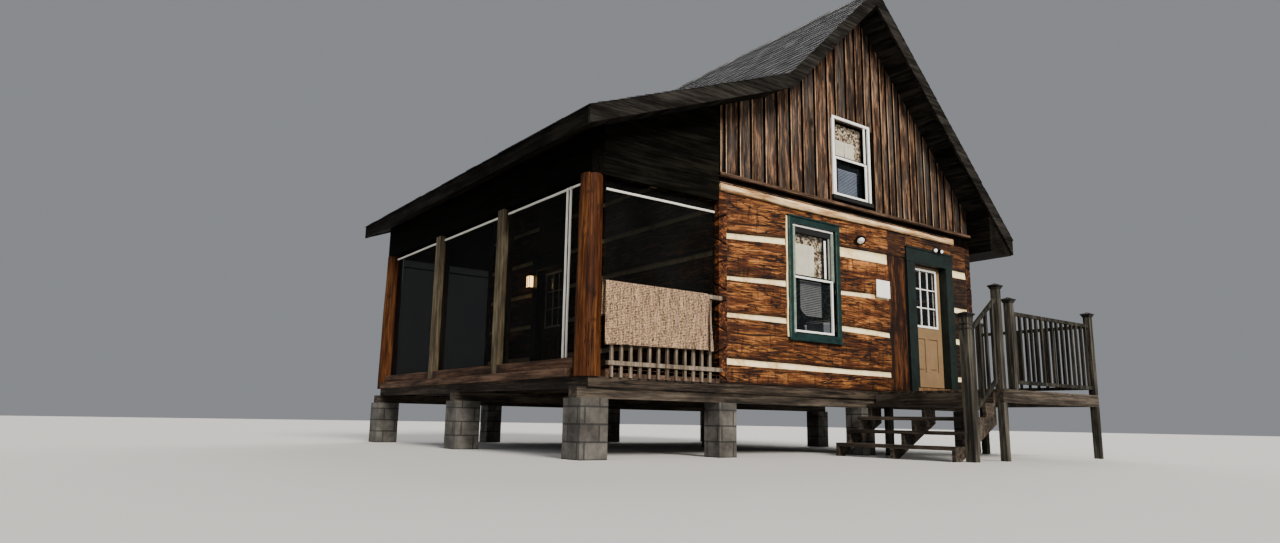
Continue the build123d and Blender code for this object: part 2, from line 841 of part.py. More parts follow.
short_post_x = deck_left + short_post_offset
rail_line_y = deck_front + post_in
newel_x = deck_left - newel_offset
with BuildPart() as rail_posts:
    with Locations(at(deck_left + post_in, rail_line_y, deck_top)):
        Box(deck_post, deck_post, tall_post_height, align=middle)
    with Locations(at(short_post_x, rail_line_y, deck_top)):
        Box(deck_post, deck_post, short_post_height, align=middle)
    with Locations(at(deck_right - post_in, rail_line_y, deck_top)):
        Box(deck_post, deck_post, short_post_height, align=middle)
    with Locations(at(deck_right - post_in, back_post_y, deck_top)):
        Box(deck_post, deck_post, short_post_height, align=middle)
    with Locations(at(newel_x, rail_line_y, 0)):
        Box(newel, newel, deck_top + newel_height, align=middle)
save(rail_posts, "rail_posts")

riser = deck_top / riser_count
stair_foot_x = deck_left - (riser_count - 1) * tread_run
stair_near_y = rail_line_y + newel / 2 + 5
stair_width = deck_back - stair_near_y
saw = []
for step in range(1, riser_count):
    level = step * riser - tread_thick
    saw += [(stair_foot_x + (step - 1) * tread_run, level), (stair_foot_x + step * tread_run, level)]
last_tread = saw[-1][1]
underside = [(deck_left, last_tread - stringer_depth), (stair_foot_x + tread_run / 2, 0), (stair_foot_x, 0)]
with BuildPart() as stair:
    for step in range(1, riser_count):
        with Locations(at(stair_foot_x + (step - 1) * tread_run, stair_near_y, step * riser - tread_thick)):
            Box(tread_run, stair_width, tread_thick, align=low)
    with Locations(at(deck_left - tread_thick, stair_near_y, last_tread)):
        Box(tread_thick, stair_width, deck_top - deck_board - last_tread, align=low)
    for y in (stair_near_y, stair_near_y + (stair_width - 50) / 2, deck_back - 50):
        with BuildSketch(cross_plane(y)):
            with BuildLine():
                Polyline(saw + underside, close=True)
            make_face()
        extrude(amount=-50)
save(stair, "stair")

rail_start_x = short_post_x + post_in
rail_stop_x = deck_right - deck_post
rail_run = rail_stop_x - rail_start_x
side_rail_start = deck_front + deck_post
side_rail_stop = back_post_y - post_in
side_rail_run = side_rail_stop - side_rail_start
rail_foot = deck_top + 80
rail_head = deck_top + deck_rail_height
slope_left = newel_x + newel / 2
slope_run = deck_left - slope_left
stair_slope = riser / tread_run
slope_high = deck_top + stair_rail_height
slope_low = slope_high - slope_run * stair_slope
slope_bars = int(slope_run / baluster_pitch)
foot_high = slope_high - stair_bar_height
foot_low = slope_low - stair_bar_height
with BuildPart() as deck_rails:
    for z in (rail_foot, rail_head - 50):
        with Locations(at(rail_start_x, rail_line_y - rail_bar / 2, z)):
            Box(rail_run, rail_bar, 50, align=low)
        with Locations(at(deck_right - post_in - rail_bar / 2, side_rail_start, z)):
            Box(rail_bar, side_rail_run, 50, align=low)
    front_bars = int(rail_run / baluster_pitch)
    for step in range(front_bars):
        x = rail_start_x + rail_run * (step + 0.5) / front_bars
        with Locations(at(x, rail_line_y, rail_foot)):
            Box(baluster, baluster, rail_head - rail_foot - 10, align=middle)
    side_bars = int(side_rail_run / baluster_pitch)
    for step in range(side_bars):
        y = side_rail_start + side_rail_run * (step + 0.5) / side_bars
        with Locations(at(deck_right - post_in, y, rail_foot)):
            Box(baluster, baluster, rail_head - rail_foot - 10, align=middle)
    with BuildSketch(cross_plane(rail_line_y - rail_bar / 2)):
        for low_z, high_z in ((slope_low, slope_high), (foot_low, foot_high)):
            with BuildLine():
                Polyline(
                    [
                        (slope_left, low_z),
                        (deck_left, high_z),
                        (deck_left, high_z + 60),
                        (slope_left, low_z + 60),
                    ],
                    close=True,
                )
            make_face()
        for step in range(slope_bars):
            x = slope_left + slope_run * (step + 0.5) / slope_bars
            foot = foot_low + (x - slope_left) * stair_slope + 30
            with Locations((x, foot)):
                Rectangle(baluster, stair_bar_height, align=(Align.CENTER, Align.MIN))
    extrude(amount=-rail_bar)
save(deck_rails, "deck_rails")

# Wall lamps: round flood lamp, twin lamp over the door, porch lantern
flood_lamp_x = main_window[1] + flood_lamp_offset
flood_lamp_z = log_base + flood_lamp_height
seat_depth = flood_lamp_radius / 2
flood_base_z = flood_lamp_z - flood_lamp_radius - flood_base_depth / 2
with BuildPart() as wall_lamps:
    with Locations(at(flood_lamp_x, -flood_lamp_radius + seat_depth, flood_lamp_z)):
        Sphere(flood_lamp_radius)
    with Locations(at(flood_lamp_x, -flood_base_depth, flood_base_z)):
        Box(flood_base_width, flood_base_depth, flood_base_depth, align=low)
    with Locations(at(door_mid_x + twin_lamp_offset, -twin_lamp_depth, opening_top + twin_lamp_gap)):
        Box(twin_lamp_width, twin_lamp_depth + log_bevel, twin_lamp_height, align=low)
    with Locations(at(-lantern_depth, porch_door_start + lantern_offset, log_base + lantern_base_height)):
        Box(lantern_depth, lantern_width, lantern_height, align=low)
save(wall_lamps, "wall_lamps")
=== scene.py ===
import math
import random

import bmesh
import bpy
from mathutils import Matrix, Vector, noise


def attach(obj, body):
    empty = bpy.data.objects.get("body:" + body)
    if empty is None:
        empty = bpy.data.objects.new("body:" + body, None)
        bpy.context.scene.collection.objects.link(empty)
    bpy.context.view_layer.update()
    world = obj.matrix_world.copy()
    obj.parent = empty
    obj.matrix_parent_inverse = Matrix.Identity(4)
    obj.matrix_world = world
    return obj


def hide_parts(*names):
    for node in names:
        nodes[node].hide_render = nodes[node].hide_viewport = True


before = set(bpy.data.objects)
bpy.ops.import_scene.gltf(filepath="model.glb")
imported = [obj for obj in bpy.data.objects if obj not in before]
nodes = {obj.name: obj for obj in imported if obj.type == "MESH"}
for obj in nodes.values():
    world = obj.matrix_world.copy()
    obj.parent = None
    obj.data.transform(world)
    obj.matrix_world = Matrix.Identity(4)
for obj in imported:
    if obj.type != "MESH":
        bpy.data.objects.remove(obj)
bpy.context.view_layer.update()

# House coordinates: X and Y from the gable wall's left corner, Z from the underside of the logs
MID_X, MID_Y, BASE = 2.135, 2.7075, 0.95
WIDTH, LENGTH, WALL, TOP = 6.0, 7.0, 0.15, 2.62


def home(p):
    return Vector((p[0] - MID_X, p[1] - MID_Y, p[2] + BASE))


# Roof lines
RIDGE_X, RIDGE_Z, SLOPE = 3.0, 6.42, 3.61 / 3.66
BREAK_X = 0.95
BREAK_Z = RIDGE_Z - SLOPE * (RIDGE_X - BREAK_X)
EAVE_X, EAVE_Z, RIGHT_EAVE_X = -2.39, 3.08, 6.66
PORCH_SLOPE = (BREAK_Z - EAVE_Z) / (BREAK_X - EAVE_X)
ROOF_THICK = 0.2
ROOF_FRONT, ROOF_BACK = -0.45, 7.45


def roof_top(x):
    if x > BREAK_X:
        return RIDGE_Z - SLOPE * abs(x - RIDGE_X)
    return EAVE_Z + PORCH_SLOPE * (x - EAVE_X)


# Materials
def rgba(colour, factor=1.0):
    """A colour, or one grey value, as Blender takes it"""
    if isinstance(colour, (int, float)):
        colour = (colour, colour, colour)
    return (*(c * factor for c in colour), 1)


class Shader:
    def __init__(self, name):
        self.material = bpy.data.materials.new(name)
        self.material.use_nodes = True
        self.tree = self.material.node_tree
        self.bsdf = self.tree.nodes["Principled BSDF"]

    def node(self, kind, **settings):
        made = self.tree.nodes.new("ShaderNode" + kind)
        for key, value in settings.items():
            setattr(made, key, value)
        return made

    def feed(self, socket, value):
        if isinstance(value, bpy.types.NodeSocket):
            self.tree.links.new(value, socket)
        else:
            socket.default_value = value

    def put(self, node, **values):
        """Feed inputs by name, with an underscore for each space"""
        for name, value in values.items():
            self.feed(node.inputs[name.replace("_", " ")], value)
        return node

    def math(self, operation, *values):
        made = self.node("Math", operation=operation)
        for socket, value in zip(made.inputs, values):
            self.feed(socket, value)
        return made.outputs[0]

    def total(self, *parts):
        """The sum of (output, weight) pairs"""
        shares = [self.math("MULTIPLY", *part) for part in parts]
        while len(shares) > 1:
            shares[:2] = [self.math("ADD", *shares[:2])]
        return shares[0]

    def mix(self, factor, a, b, blend="MIX"):
        made = self.node("Mix", data_type="RGBA", blend_type=blend)
        for place, value in ((0, factor), (6, a), (7, b)):
            self.feed(made.inputs[place], value)
        return made.outputs[2]

    def times(self, colour, factor):
        return self.mix(1.0, colour, factor, "MULTIPLY")

    def ramp(self, factor, *stops):
        made = self.node("ValToRGB")
        elements = made.color_ramp.elements
        while len(elements) < len(stops):
            elements.new(0.5)
        for element, (place, colour) in zip(elements, stops):
            element.position = place
            element.color = rgba(colour)
        self.feed(made.inputs[0], factor)
        return made.outputs[0]

    def split(self, vector):
        made = self.node("SeparateXYZ")
        self.feed(made.inputs[0], vector)
        return made.outputs[:]

    def join(self, *values):
        made = self.node("CombineXYZ")
        for socket, value in zip(made.inputs, values):
            self.feed(socket, value)
        return made.outputs[0]

    def coords(self, axis=None):
        """Along the grain in X: the piece's own grain attribute, or the object's axis"""
        if axis is None:
            return self.node("Attribute", attribute_name="grain").outputs["Vector"]
        source = self.node("TexCoord").outputs["Object"]
        if axis == 0:
            return source
        if axis == "rims":
            # Faces that look along Y have their grain along X, the others along Y
            facing = self.split(self.node("TexCoord").outputs["Normal"])[1]
            looks_along_y = self.math("GREATER_THAN", self.math("ABSOLUTE", facing), 0.7)
            made = self.node("Mix", data_type="VECTOR")
            for place, value in ((0, looks_along_y), (4, self.coords(1)), (5, source)):
                self.feed(made.inputs[place], value)
            return made.outputs[1]
        x, y, z = self.split(source)
        return self.join(y, x, z) if axis == 1 else self.join(z, x, y)

    def scaled(self, vector, scale):
        return self.put(self.node("Mapping"), Vector=vector, Scale=scale).outputs[0]

    def noise(self, vector, scale, detail, rough, distortion=0.0):
        if isinstance(scale, tuple):
            vector, scale = self.scaled(vector, scale), 1.0
        made = self.put(self.node("TexNoise"), Vector=vector, Scale=scale, Detail=detail, Roughness=rough)
        return self.put(made, Distortion=distortion).outputs[0]

    def checks(self, where, line, gate, rise, *stops):
        """Thin wavy checks along the middle value of the noise line, broken up by the noise gate"""
        away = self.math("ABSOLUTE", self.math("SUBTRACT", self.noise(where, *line), 0.5))
        return self.ramp(self.math("MULTIPLY_ADD", self.noise(where, *gate), rise, away), *stops)

    def attribute(self, name):
        return self.node("Attribute", attribute_name=name).outputs["Fac"]

    def bump(self, height, strength, distance=0.01):
        made = self.put(self.node("Bump"), Height=height, Strength=strength, Distance=distance)
        self.feed(self.bsdf.inputs["Normal"], made.outputs[0])

    def done(self, colour, rough, **values):
        self.put(self.bsdf, Base_Color=colour, Roughness=rough, **values)
        return self.material


def wood(name, dark, mid, light, axis=None, fibre=28, patch=1.0, cracks=0.5, knots=0.0, rough=0.75, bump=0.5,
         grey=0.0, painted_shade_and_knots=0.0, spread=0.5, half=0.08, ticks=0.0, waves=0.0, blend=(0.46, 0.16, 0.38),
         shine=0.15, run=1.3, check=0.04, close=9, along=0.42):
    """Grained wood; its three colours are in thousandths"""
    dark, mid, light = ([c / 1000 for c in colour] for colour in (dark, mid, light))
    s = Shader(name)
    where = s.coords(axis)
    fibres = s.noise(where, (run, fibre, fibre), 5, 0.62, 0.4)
    fine = s.noise(where, (7, fibre * 4, fibre * 4), 3, 0.6)
    broad = s.noise(where, (1.1 * patch, 5.0 * patch, 5.0 * patch), 4, 0.6, 0.5)
    value = s.total(*zip((fibres, fine, broad), blend))
    colour = s.ramp(value, (0.5 - half, dark), (0.5, mid), (0.5 + half, light))
    if axis is None:
        colour = s.times(colour, s.math("MULTIPLY_ADD", s.attribute("tone"), spread, 1 - spread / 2))
    if grey:
        veil = s.noise(where, (0.7, 3, 3), 4, 0.7)
        colour = s.mix(s.ramp(veil, (0.42, 0.0), (0.62, grey)), colour, (0.2, 0.19, 0.17, 1))
    opened = s.checks(where, ((0.8, 15, 15), 2, 0.5, 0.6), ((1.3, 4, 4), 2, 0.5), 0.03,
                      (0.014, 0.0), (0.03, 1.0))
    colour = s.times(colour, s.math("MULTIPLY_ADD", opened, cracks, 1 - cracks))
    if waves:
        # Long wavy drying checks, wide enough to see from afar
        shut = s.checks(where, ((along, close, close), 3, 0.5, 0.7), ((1.7, 3, 3), 2, 0.5), 0.04,
                        (check * 0.7, 1 - waves), (check * 1.3, 1.0))
        colour = s.times(colour, shut)
        opened = s.math("MULTIPLY", opened, shut)
    if ticks:
        # Short marks of the hewing axe across the grain
        chop = s.noise(where, (17, 3.2, 3.2), 2, 0.5, 0.2)
        colour = s.times(colour, s.ramp(chop, (0.33, 1 - ticks), (0.41, 1.0), (0.61, 1.0), (0.7, 1 + ticks)))
    if knots:
        cells = s.put(s.node("TexVoronoi"), Vector=s.scaled(where, (1.6, 3.6, 3.6)), Scale=1.0)
        spot = s.ramp(cells.outputs["Distance"], (0.07, knots), (0.13, knots * 0.5), (0.17, 0.0))
        colour = s.mix(spot, colour, rgba(dark, 0.35))
    # Painted shade from the edge attribute: at the feet, edges and ends of logs and at the seams of the log
    # ends; on the posts it holds the real dark round knots
    if painted_shade_and_knots:
        colour = s.mix(s.math("MULTIPLY", s.attribute("edge"), painted_shade_and_knots), colour, rgba(dark, 0.3))
    s.bump(s.total((fibres, 0.6), (fine, 0.25), (opened, 0.6 * cracks)), bump, 0.012)
    return s.done(colour, s.math("MULTIPLY_ADD", fine, 0.25, rough - 0.12), Specular_IOR_Level=shine)


def plain(name, colour, rough=0.5, variation=0.12, scale=6.0, bump=0.08, metallic=0.0, worn=0.0):
    """Paint, metal or fabric with soft blotches, and bare flakes where it is worn"""
    s = Shader(name)
    where = s.coords(0)
    blotch = s.noise(where, scale, 5, 0.6)
    fine = s.noise(where, 160, 3, 0.6)
    low, top = ([min(1, c * (1 + sign * variation)) for c in colour] for sign in (-1, 1))
    made = s.ramp(blotch, (0.35, low), (0.65, top))
    if worn:
        flakes = s.noise(where, 28, 6, 0.7)
        made = s.mix(s.ramp(flakes, (0.6, 0.0), (0.66, worn)), made, (0.2, 0.17, 0.12, 1))
    s.bump(s.total((blotch, 0.5), (fine, 0.3)), bump)
    rough = s.math("MULTIPLY_ADD", fine, 0.2, rough - 0.1)
    return s.done(made, rough, Metallic=metallic, Specular_IOR_Level=0.25)


log_wood = wood("hewn_log_wood", (28, 7, 1.5), (84, 23.2, 4.8), (440, 176, 46), fibre=52, patch=1.5,
                cracks=0.9, rough=0.62, bump=1.0, painted_shade_and_knots=0.97, half=0.092, ticks=0.6, waves=0.95,
                blend=(0.4, 0.25, 0.35), shine=0.2, run=2.2, check=0.038, close=10, along=1.1)
corner_wood = wood("corner_log_wood", (14, 3.6, 1), (42, 11, 2.8), (260, 88, 24), fibre=30, patch=1.6,
                   cracks=0.8, rough=0.65, bump=0.9, half=0.075, ticks=0.3, waves=0.7, painted_shade_and_knots=0.95)
log_inner = wood("inner_log_wood", (30, 11, 4), (120, 50, 18), (240, 115, 45), fibre=34, cracks=0.6,
                 rough=0.7, bump=0.6, painted_shade_and_knots=0.7)
post_wood = wood("peeled_log_wood", (16, 4.5, 1.2), (44, 12.5, 3), (125, 46, 12.5), fibre=24, patch=0.8,
                 cracks=0.85, rough=0.6, bump=0.8, painted_shade_and_knots=0.95, half=0.11, waves=0.45, shine=0.08)
gable_wood = wood("gable_board_wood", (7, 3, 1.4), (31, 12.8, 5.7), (250, 135, 72), fibre=38, patch=1.8,
                  cracks=0.8, knots=0.95, bump=0.8, grey=0.18, spread=0.85, painted_shade_and_knots=0.95, half=0.095,
                  waves=0.75, blend=(0.36, 0.18, 0.46), run=1.4)
# Painted highlight: the thin arris strips of the gable boards
arris_highlight_wood = wood("board_arris_painted_highlight", (50, 24, 12), (200, 115, 60), (420, 280, 170), fibre=14, half=0.07)
pale_wood = wood("pale_board_wood", (300, 150, 60), (720, 480, 240), (950, 760, 470), fibre=18, rough=0.7,
                 spread=0.2, painted_shade_and_knots=0.6)
weathered = (10, 8, 6), (34, 26, 19), (80, 64, 48)
decking = (14, 7, 4), (50, 26, 15), (120, 70, 44)
grey_wood = wood("weathered_wood_boards", *weathered, fibre=26, cracks=0.8, rough=0.8, bump=0.7)
deck_wood = wood("deck_wood_boards", *decking, fibre=26, cracks=0.7, bump=0.6, spread=0.45)
cap_wood = wood("dark_cap_wood", (5, 4.5, 4), (14, 12.5, 11), (35, 32, 28), fibre=22)

# Woods of the carried-over solids, with their grain along X, Y or Z
grey_x, grey_y = wood("weathered_along_x", *weathered, 0), wood("weathered_along_y", *weathered, 1)
grey_z = wood("weathered_along_z", (6, 5.2, 4), (25, 22.2, 16.8), (70, 63, 49), 2)
grey_rims = wood("weathered_rim_wood", (5, 3.7, 2.6), (21, 15, 10.5), (62, 46, 32), "rims",
                 fibre=30, waves=0.7)
shaded_z = wood("shaded_rail_wood", (3, 2.7, 2), (13, 11.7, 8.8), (42, 38, 29), 2)
tan_z = wood("lichened_post_wood", (20, 15, 8), (70, 53, 30), (150, 120, 75), 2)
rail_z = wood("pale_rail_wood", (50, 36, 25), (140, 108, 78), (260, 210, 155), 2)
brown_x = wood("ledge_wood", (18, 9, 5), (60, 34, 20), (140, 85, 52), 0)
brown_y = wood("sill_board_wood", (10, 5, 2.5), (45, 22, 12), (105, 58, 34), 1)
deck_y = wood("porch_deck_wood", *decking, 1)
floor_y = wood("cabin_floor_wood", (60, 26, 10), (160, 80, 33), (280, 160, 75), 1, rough=0.5)
# Near black: painted shade on the eave box and the porch fascia
eave_shade_y = wood("eave_along_y_painted_shade", (1.4, 1.2, 0.9), (4.4, 3.7, 2.8), (11, 9.2, 7), 1, shine=0.03)
eave_x = wood("eave_along_x", (4.5, 4, 3.4), (12, 10.8, 9.2), (27, 24.5, 21), 0, shine=0.03)
shaded_y = wood("shaded_beam_wood", (0.4, 0.3, 0.2), (1.2, 1, 0.8), (3, 2.5, 2), 1, shine=0.02)
shaded_x = wood("shaded_board_wood", (1, 0.9, 0.6), (3, 2.7, 2), (7.5, 6.8, 5), 0, shine=0.02)
# Near black: painted shade under the roofs
soffit_shade = wood("soffit_boards_painted_shade", (4, 3.5, 3), (12.5, 11.2, 9.4), (27, 24.5, 20.5), 1, fibre=14, shine=0.02)
# Near black: painted shade in the gaps behind the gable boards and the log ends
backing_shade = wood("gable_backing_painted_shade", (1, 0.7, 0.5), (2, 1.3, 1), (5, 3, 2), 2, shine=0.02)

green = plain("green_paint_wood", (0.0042, 0.018, 0.0165), 0.42, 0.4, 9.0, 0.15, worn=0.12)
# Lighter green on the raised edges: painted highlight, with real worn flakes
green_highlight_and_wear = plain("green_edge_highlight_and_wear", (0.02, 0.045, 0.038), 0.45, 0.4, 14.0, 0.12, worn=0.25)
shade_green = plain("shaded_green_paint", (0.0032, 0.0085, 0.0072), 0.5, 0.4, 9.0, 0.12, worn=0.1)
cream = plain("cream_paint", (0.19, 0.122, 0.062), 0.45, 0.12, 3.0, 0.06)
white = plain("white_trim_paint", (0.62, 0.6, 0.54), 0.4, 0.1, 5.0, 0.06)
bright = plain("bright_sash_paint", (0.9, 0.89, 0.85), 0.35, 0.06, 5.0, 0.05)
black = plain("black_lamp_metal", (0.008, 0.008, 0.008), 0.4, 0.3, 20.0, 0.05, 0.4)
steel = plain("dull_steel", (0.4, 0.38, 0.34), 0.35, 0.15, 30.0, 0.05, 1.0)
storm_paint = plain("pale_storm_frame", (0.16, 0.2, 0.165), 0.45, 0.25, 12.0)
# Painted shade: the sash white darkened for the upper sash's shaded stile
sash_shade_paint = plain("shaded_sash_paint", (0.2, 0.19, 0.165), 0.45, 0.2, 8.0, 0.06)
# Near black: painted shade in the window rebates and the dark strips of the sashes
rebate_shade_paint = plain("rebate_painted_shade", (0.004, 0.0045, 0.0045), 0.7, 0.3, 8.0, 0.05)
blind_mat = plain("blind_slats", (0.17, 0.18, 0.185), 0.5, 0.12, 4.0, 0.05)
blue_blind = plain("blue_blind_slats", (0.24, 0.28, 0.37), 0.5, 0.12, 4.0, 0.05)
shade_mat = plain("cream_roller_shade", (0.95, 0.88, 0.7), 0.9, 0.1, 7.0, 0.1)


def mortar():
    s = Shader("chinking_mortar")
    where = s.coords(0)
    blotch = s.noise(where, 5, 5, 0.65)
    sand = s.noise(where, 210, 3, 0.7)
    colour = s.ramp(blotch, (0.3, (0.6, 0.36, 0.16)), (0.46, (0.95, 0.74, 0.4)), (0.66, (1.0, 0.9, 0.58)))
    # Painted shade from the edge attribute along the joint, darkest under the log above
    colour = s.mix(s.math("MULTIPLY", s.attribute("edge"), 0.85), colour, (0.015, 0.005, 0.002, 1))
    s.bump(s.total((blotch, 0.6), (sand, 0.35)), 0.6, 0.012)
    return s.done(colour, 0.9, Specular_IOR_Level=0.15)


def shingle():
    s = Shader("asphalt_shingle")
    where = s.coords(0)
    grit = s.noise(where, 320, 2, 0.7)
    cloud = s.noise(where, 0.9, 3, 0.5)
    value = s.total((s.attribute("tone"), 0.5), (cloud, 0.5))
    colour = s.ramp(value, (0.2, (0.032, 0.034, 0.038)), (0.5, (0.066, 0.069, 0.074)),
                    (0.8, (0.155, 0.158, 0.165)))
    colour = s.times(colour, s.ramp(grit, (0.35, 0.65), (0.65, 1.3)))
    # Painted shadow along the butt of every course
    colour = s.mix(s.ramp(s.attribute("edge"), (0.2, 0.0), (0.4, 1.0)), colour, (0.004, 0.0045, 0.006, 1))
    s.bump(grit, 0.5, 0.004)
    return s.done(colour, 0.88)


def screen():
    s = Shader("insect_screen")
    cloud = s.noise(s.coords(0), 1.6, 4, 0.6)
    colour = s.ramp(cloud, (0.35, (0.001, 0.0012, 0.0012)), (0.7, (0.004, 0.0042, 0.004)))
    return s.done(colour, 0.95, Alpha=0.8, Specular_IOR_Level=0.05)


def stone():
    """Block courses in dark grey with sunk joints"""
    s = Shader("block_pier_stone")
    where = s.coords(0)
    x, y, z = s.split(where)
    brick = s.put(s.node("TexBrick"), Vector=s.join(s.math("ADD", x, y), z), Scale=1.0, Brick_Width=0.4,
                  Row_Height=0.2, Mortar_Size=0.012, Mortar_Smooth=0.3, Color1=(1, 1, 1, 1),
                  Color2=(0.6, 0.6, 0.6, 1), Mortar=(0.25, 0.25, 0.25, 1))
    blotch = s.noise(where, 4, 6, 0.65)
    grain = s.noise(where, 120, 4, 0.7)
    colour = s.ramp(blotch, (0.32, (0.025, 0.022, 0.018)), (0.5, (0.07, 0.064, 0.055)),
                    (0.68, (0.13, 0.122, 0.108)))
    height = s.total((blotch, 0.5), (grain, 0.4))
    s.bump(s.math("SUBTRACT", height, brick.outputs["Fac"]), 0.6)
    return s.done(s.times(colour, brick.outputs["Color"]), 0.92)


def weave():
    s = Shader("coarse_weave")
    where = s.coords()
    waves = []
    for direction, scale in (("X", 22), ("Y", 16)):
        made = s.node("TexWave", wave_type="BANDS", bands_direction=direction)
        s.put(made, Vector=where, Scale=scale, Distortion=2.2, Detail=2, Detail_Scale=2.5)
        waves.append((made.outputs["Fac"], 0.5))
    threads = s.total(*waves)
    cloud = s.noise(where, (42, 3.5, 1), 4, 0.65)
    slub = s.noise(where, (46, 34, 1), 3, 0.6)
    value = s.total((threads, 0.2), (cloud, 0.36), (slub, 0.44))
    colour = s.ramp(value, (0.445, (0.02, 0.009, 0.004)), (0.495, (0.12, 0.067, 0.034)),
                    (0.545, (0.47, 0.3, 0.17)))
    s.bump(s.math("ADD", threads, slub), 0.7, 0.005)
    return s.done(colour, 0.95, Sheen_Weight=0.2)


def lace():
    s = Shader("lace_curtain")
    holes = s.noise(s.coords(0), 26, 4, 0.7)
    colour = s.ramp(holes, (0.44, (0.035, 0.013, 0.004)), (0.51, (0.4, 0.27, 0.13)),
                    (0.58, (0.95, 0.88, 0.72)))
    return s.done(colour, 0.9)


mortar_mat, shingle_mat, stone_mat, weave_mat = mortar(), shingle(), stone(), weave()
screen_mat, lace_mat = screen(), lace()
clear_glass = Shader("clear_glass").done((0.01, 0.014, 0.016, 1), 0.06, Alpha=0.16, Coat_Weight=0.5)
glow_mat = Shader("lit_lamp_pane").done((1, 0.75, 0.4, 1), 0.5, Emission_Color=(1, 0.6, 0.2, 1),
                                        Emission_Strength=22)


# Mesh building
def add_object(name, data):
    made = bpy.data.objects.new(name, data)
    bpy.context.scene.collection.objects.link(made)
    return made


def new_mesh(name, verts, faces, grains=()):
    mesh = bpy.data.meshes.new(name)
    mesh.from_pydata([tuple(v) for v in verts], [], faces)
    if grains:
        layer = mesh.attributes.new("grain", "FLOAT_VECTOR", "POINT")
        layer.data.foreach_set("vector", [c for g in grains for c in g])
    return mesh


class Shape:
    def __init__(self, name):
        self.name = name
        self.verts, self.faces, self.tones, self.painted_shade_and_knots, self.grains, self.mats = [], [], [], [], [], []

    def add(self, verts, faces, tone=0.5, painted_shade_and_knots=(), grains=(), mat=0):
        start = len(self.verts)
        self.verts += [home(v) for v in verts]
        self.faces += [[start + i for i in face] for face in faces]
        self.tones += [tone] * len(verts)
        self.painted_shade_and_knots += painted_shade_and_knots or [0.0] * len(verts)
        self.grains += grains or [tuple(v) for v in verts]
        self.mats += [mat] * len(faces)

    def make(self, materials, slot, stands_for=None, smooth=None, body="cabin"):
        mesh = new_mesh(self.name, self.verts, self.faces, self.grains)
        for name, values in (("tone", self.tones), ("edge", self.painted_shade_and_knots)):
            layer = mesh.attributes.new(name, "FLOAT", "POINT")
            layer.data.foreach_set("value", values)
        for material in materials:
            mesh.materials.append(material)
        mesh.polygons.foreach_set("material_index", self.mats)
        mesh.update()
        work = bmesh.new()
        work.from_mesh(mesh)
        bmesh.ops.recalc_face_normals(work, faces=work.faces)
        work.to_mesh(mesh)
        work.free()
        if smooth is not None:
            mesh.shade_smooth()
            mesh.set_sharp_from_angle(angle=math.radians(smooth))
        made = add_object(self.name, mesh)
        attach(made, body)
        if stands_for:
            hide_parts(stands_for)


def tube_faces(rings, sides):
    """The two ends, and the sides between rings of points"""
    last = (rings - 1) * sides
    faces = [list(range(sides - 1, -1, -1)), list(range(last, last + sides))]
    for r in range(0, last, sides):
        for i in range(sides):
            j = (i + 1) % sides
            faces.append([r + i, r + j, r + sides + j, r + sides + i])
    return faces


def circle(sides):
    return [math.tau * i / sides for i in range(sides)]


def grain_shift(rng):
    return Vector((rng.random() * 9, rng.random() * 9, rng.random() * 9))


def beam(shape, start, end, width, depth, side=(0, 0, 1), n=1, bevel=0.004, wobble=0.0, tone=0.5, seed=0,
         cut_end=None, mat=0):
    """A bar in n lengths: width along side, depth across both; cut_end is a plane's point and normal"""
    rng = random.Random(seed * 7919 + len(shape.verts))
    a, b = Vector(start), Vector(end)
    along = (b - a).normalized()
    side = Vector(side)
    side = (side - along * side.dot(along)).normalized()
    over = along.cross(side)
    length = (b - a).length
    stops = [0.0, bevel] + [length * i / n for i in range(1, n)]
    if cut_end is None:
        stops.append(length - bevel)
    stops.append(length)
    verts, grains = [], []
    shift = grain_shift(rng)
    for ring, stop in enumerate(stops):
        at_end = ring == len(stops) - 1
        capped = ring == 0 or (at_end and cut_end is None)
        w, d = (size / 2 - (bevel if capped else 0) for size in (width, depth))
        c = bevel * 0.5 if capped else bevel
        points = [(w, d - c), (w - c, d), (c - w, d), (-w, d - c),
                  (-w, c - d), (c - w, -d), (w - c, -d), (w, c - d)]
        lean = (rng.uniform(-wobble, wobble), rng.uniform(-wobble, wobble))
        for p, q in points:
            p += lean[0] + rng.uniform(-wobble, wobble) * 0.4
            q += lean[1] + rng.uniform(-wobble, wobble) * 0.4
            v = a + along * stop + side * p + over * q
            if at_end and cut_end is not None:
                point, normal = Vector(cut_end[0]), Vector(cut_end[1])
                v += along * ((point - v).dot(normal) / along.dot(normal))
            verts.append(v)
            grains.append(((v - a).dot(along) + shift.x, p + shift.y, q + shift.z))
    shape.add(verts, tube_faces(len(stops), 8), tone, None, grains, mat)


def box(shape, low, high, bevel=0.004, tone=0.5, mat=0, along=0, wobble=0.0, n=1):
    low, high = Vector(low), Vector(high)
    start = (low + high) / 2
    end, side, size = start.copy(), Vector((0, 0, 0)), high - low
    start[along], end[along] = low[along], high[along]
    side_axis = (along + 1) % 3
    side[side_axis] = 1
    beam(shape, start, end, size[side_axis], size[(along + 2) % 3], side, n, bevel, wobble, tone, 3, mat=mat)


def along_line(points, u):
    """Piecewise straight line through (u, value) points"""
    if u <= points[0][0]:
        return points[0][1]
    for (a, va), (b, vb) in zip(points, points[1:]):
        if u <= b:
            return va + (vb - va) * (u - a) / (b - a)
    return points[-1][1]


def waver(x, y, z):
    return noise.noise(Vector((x, y, z)))


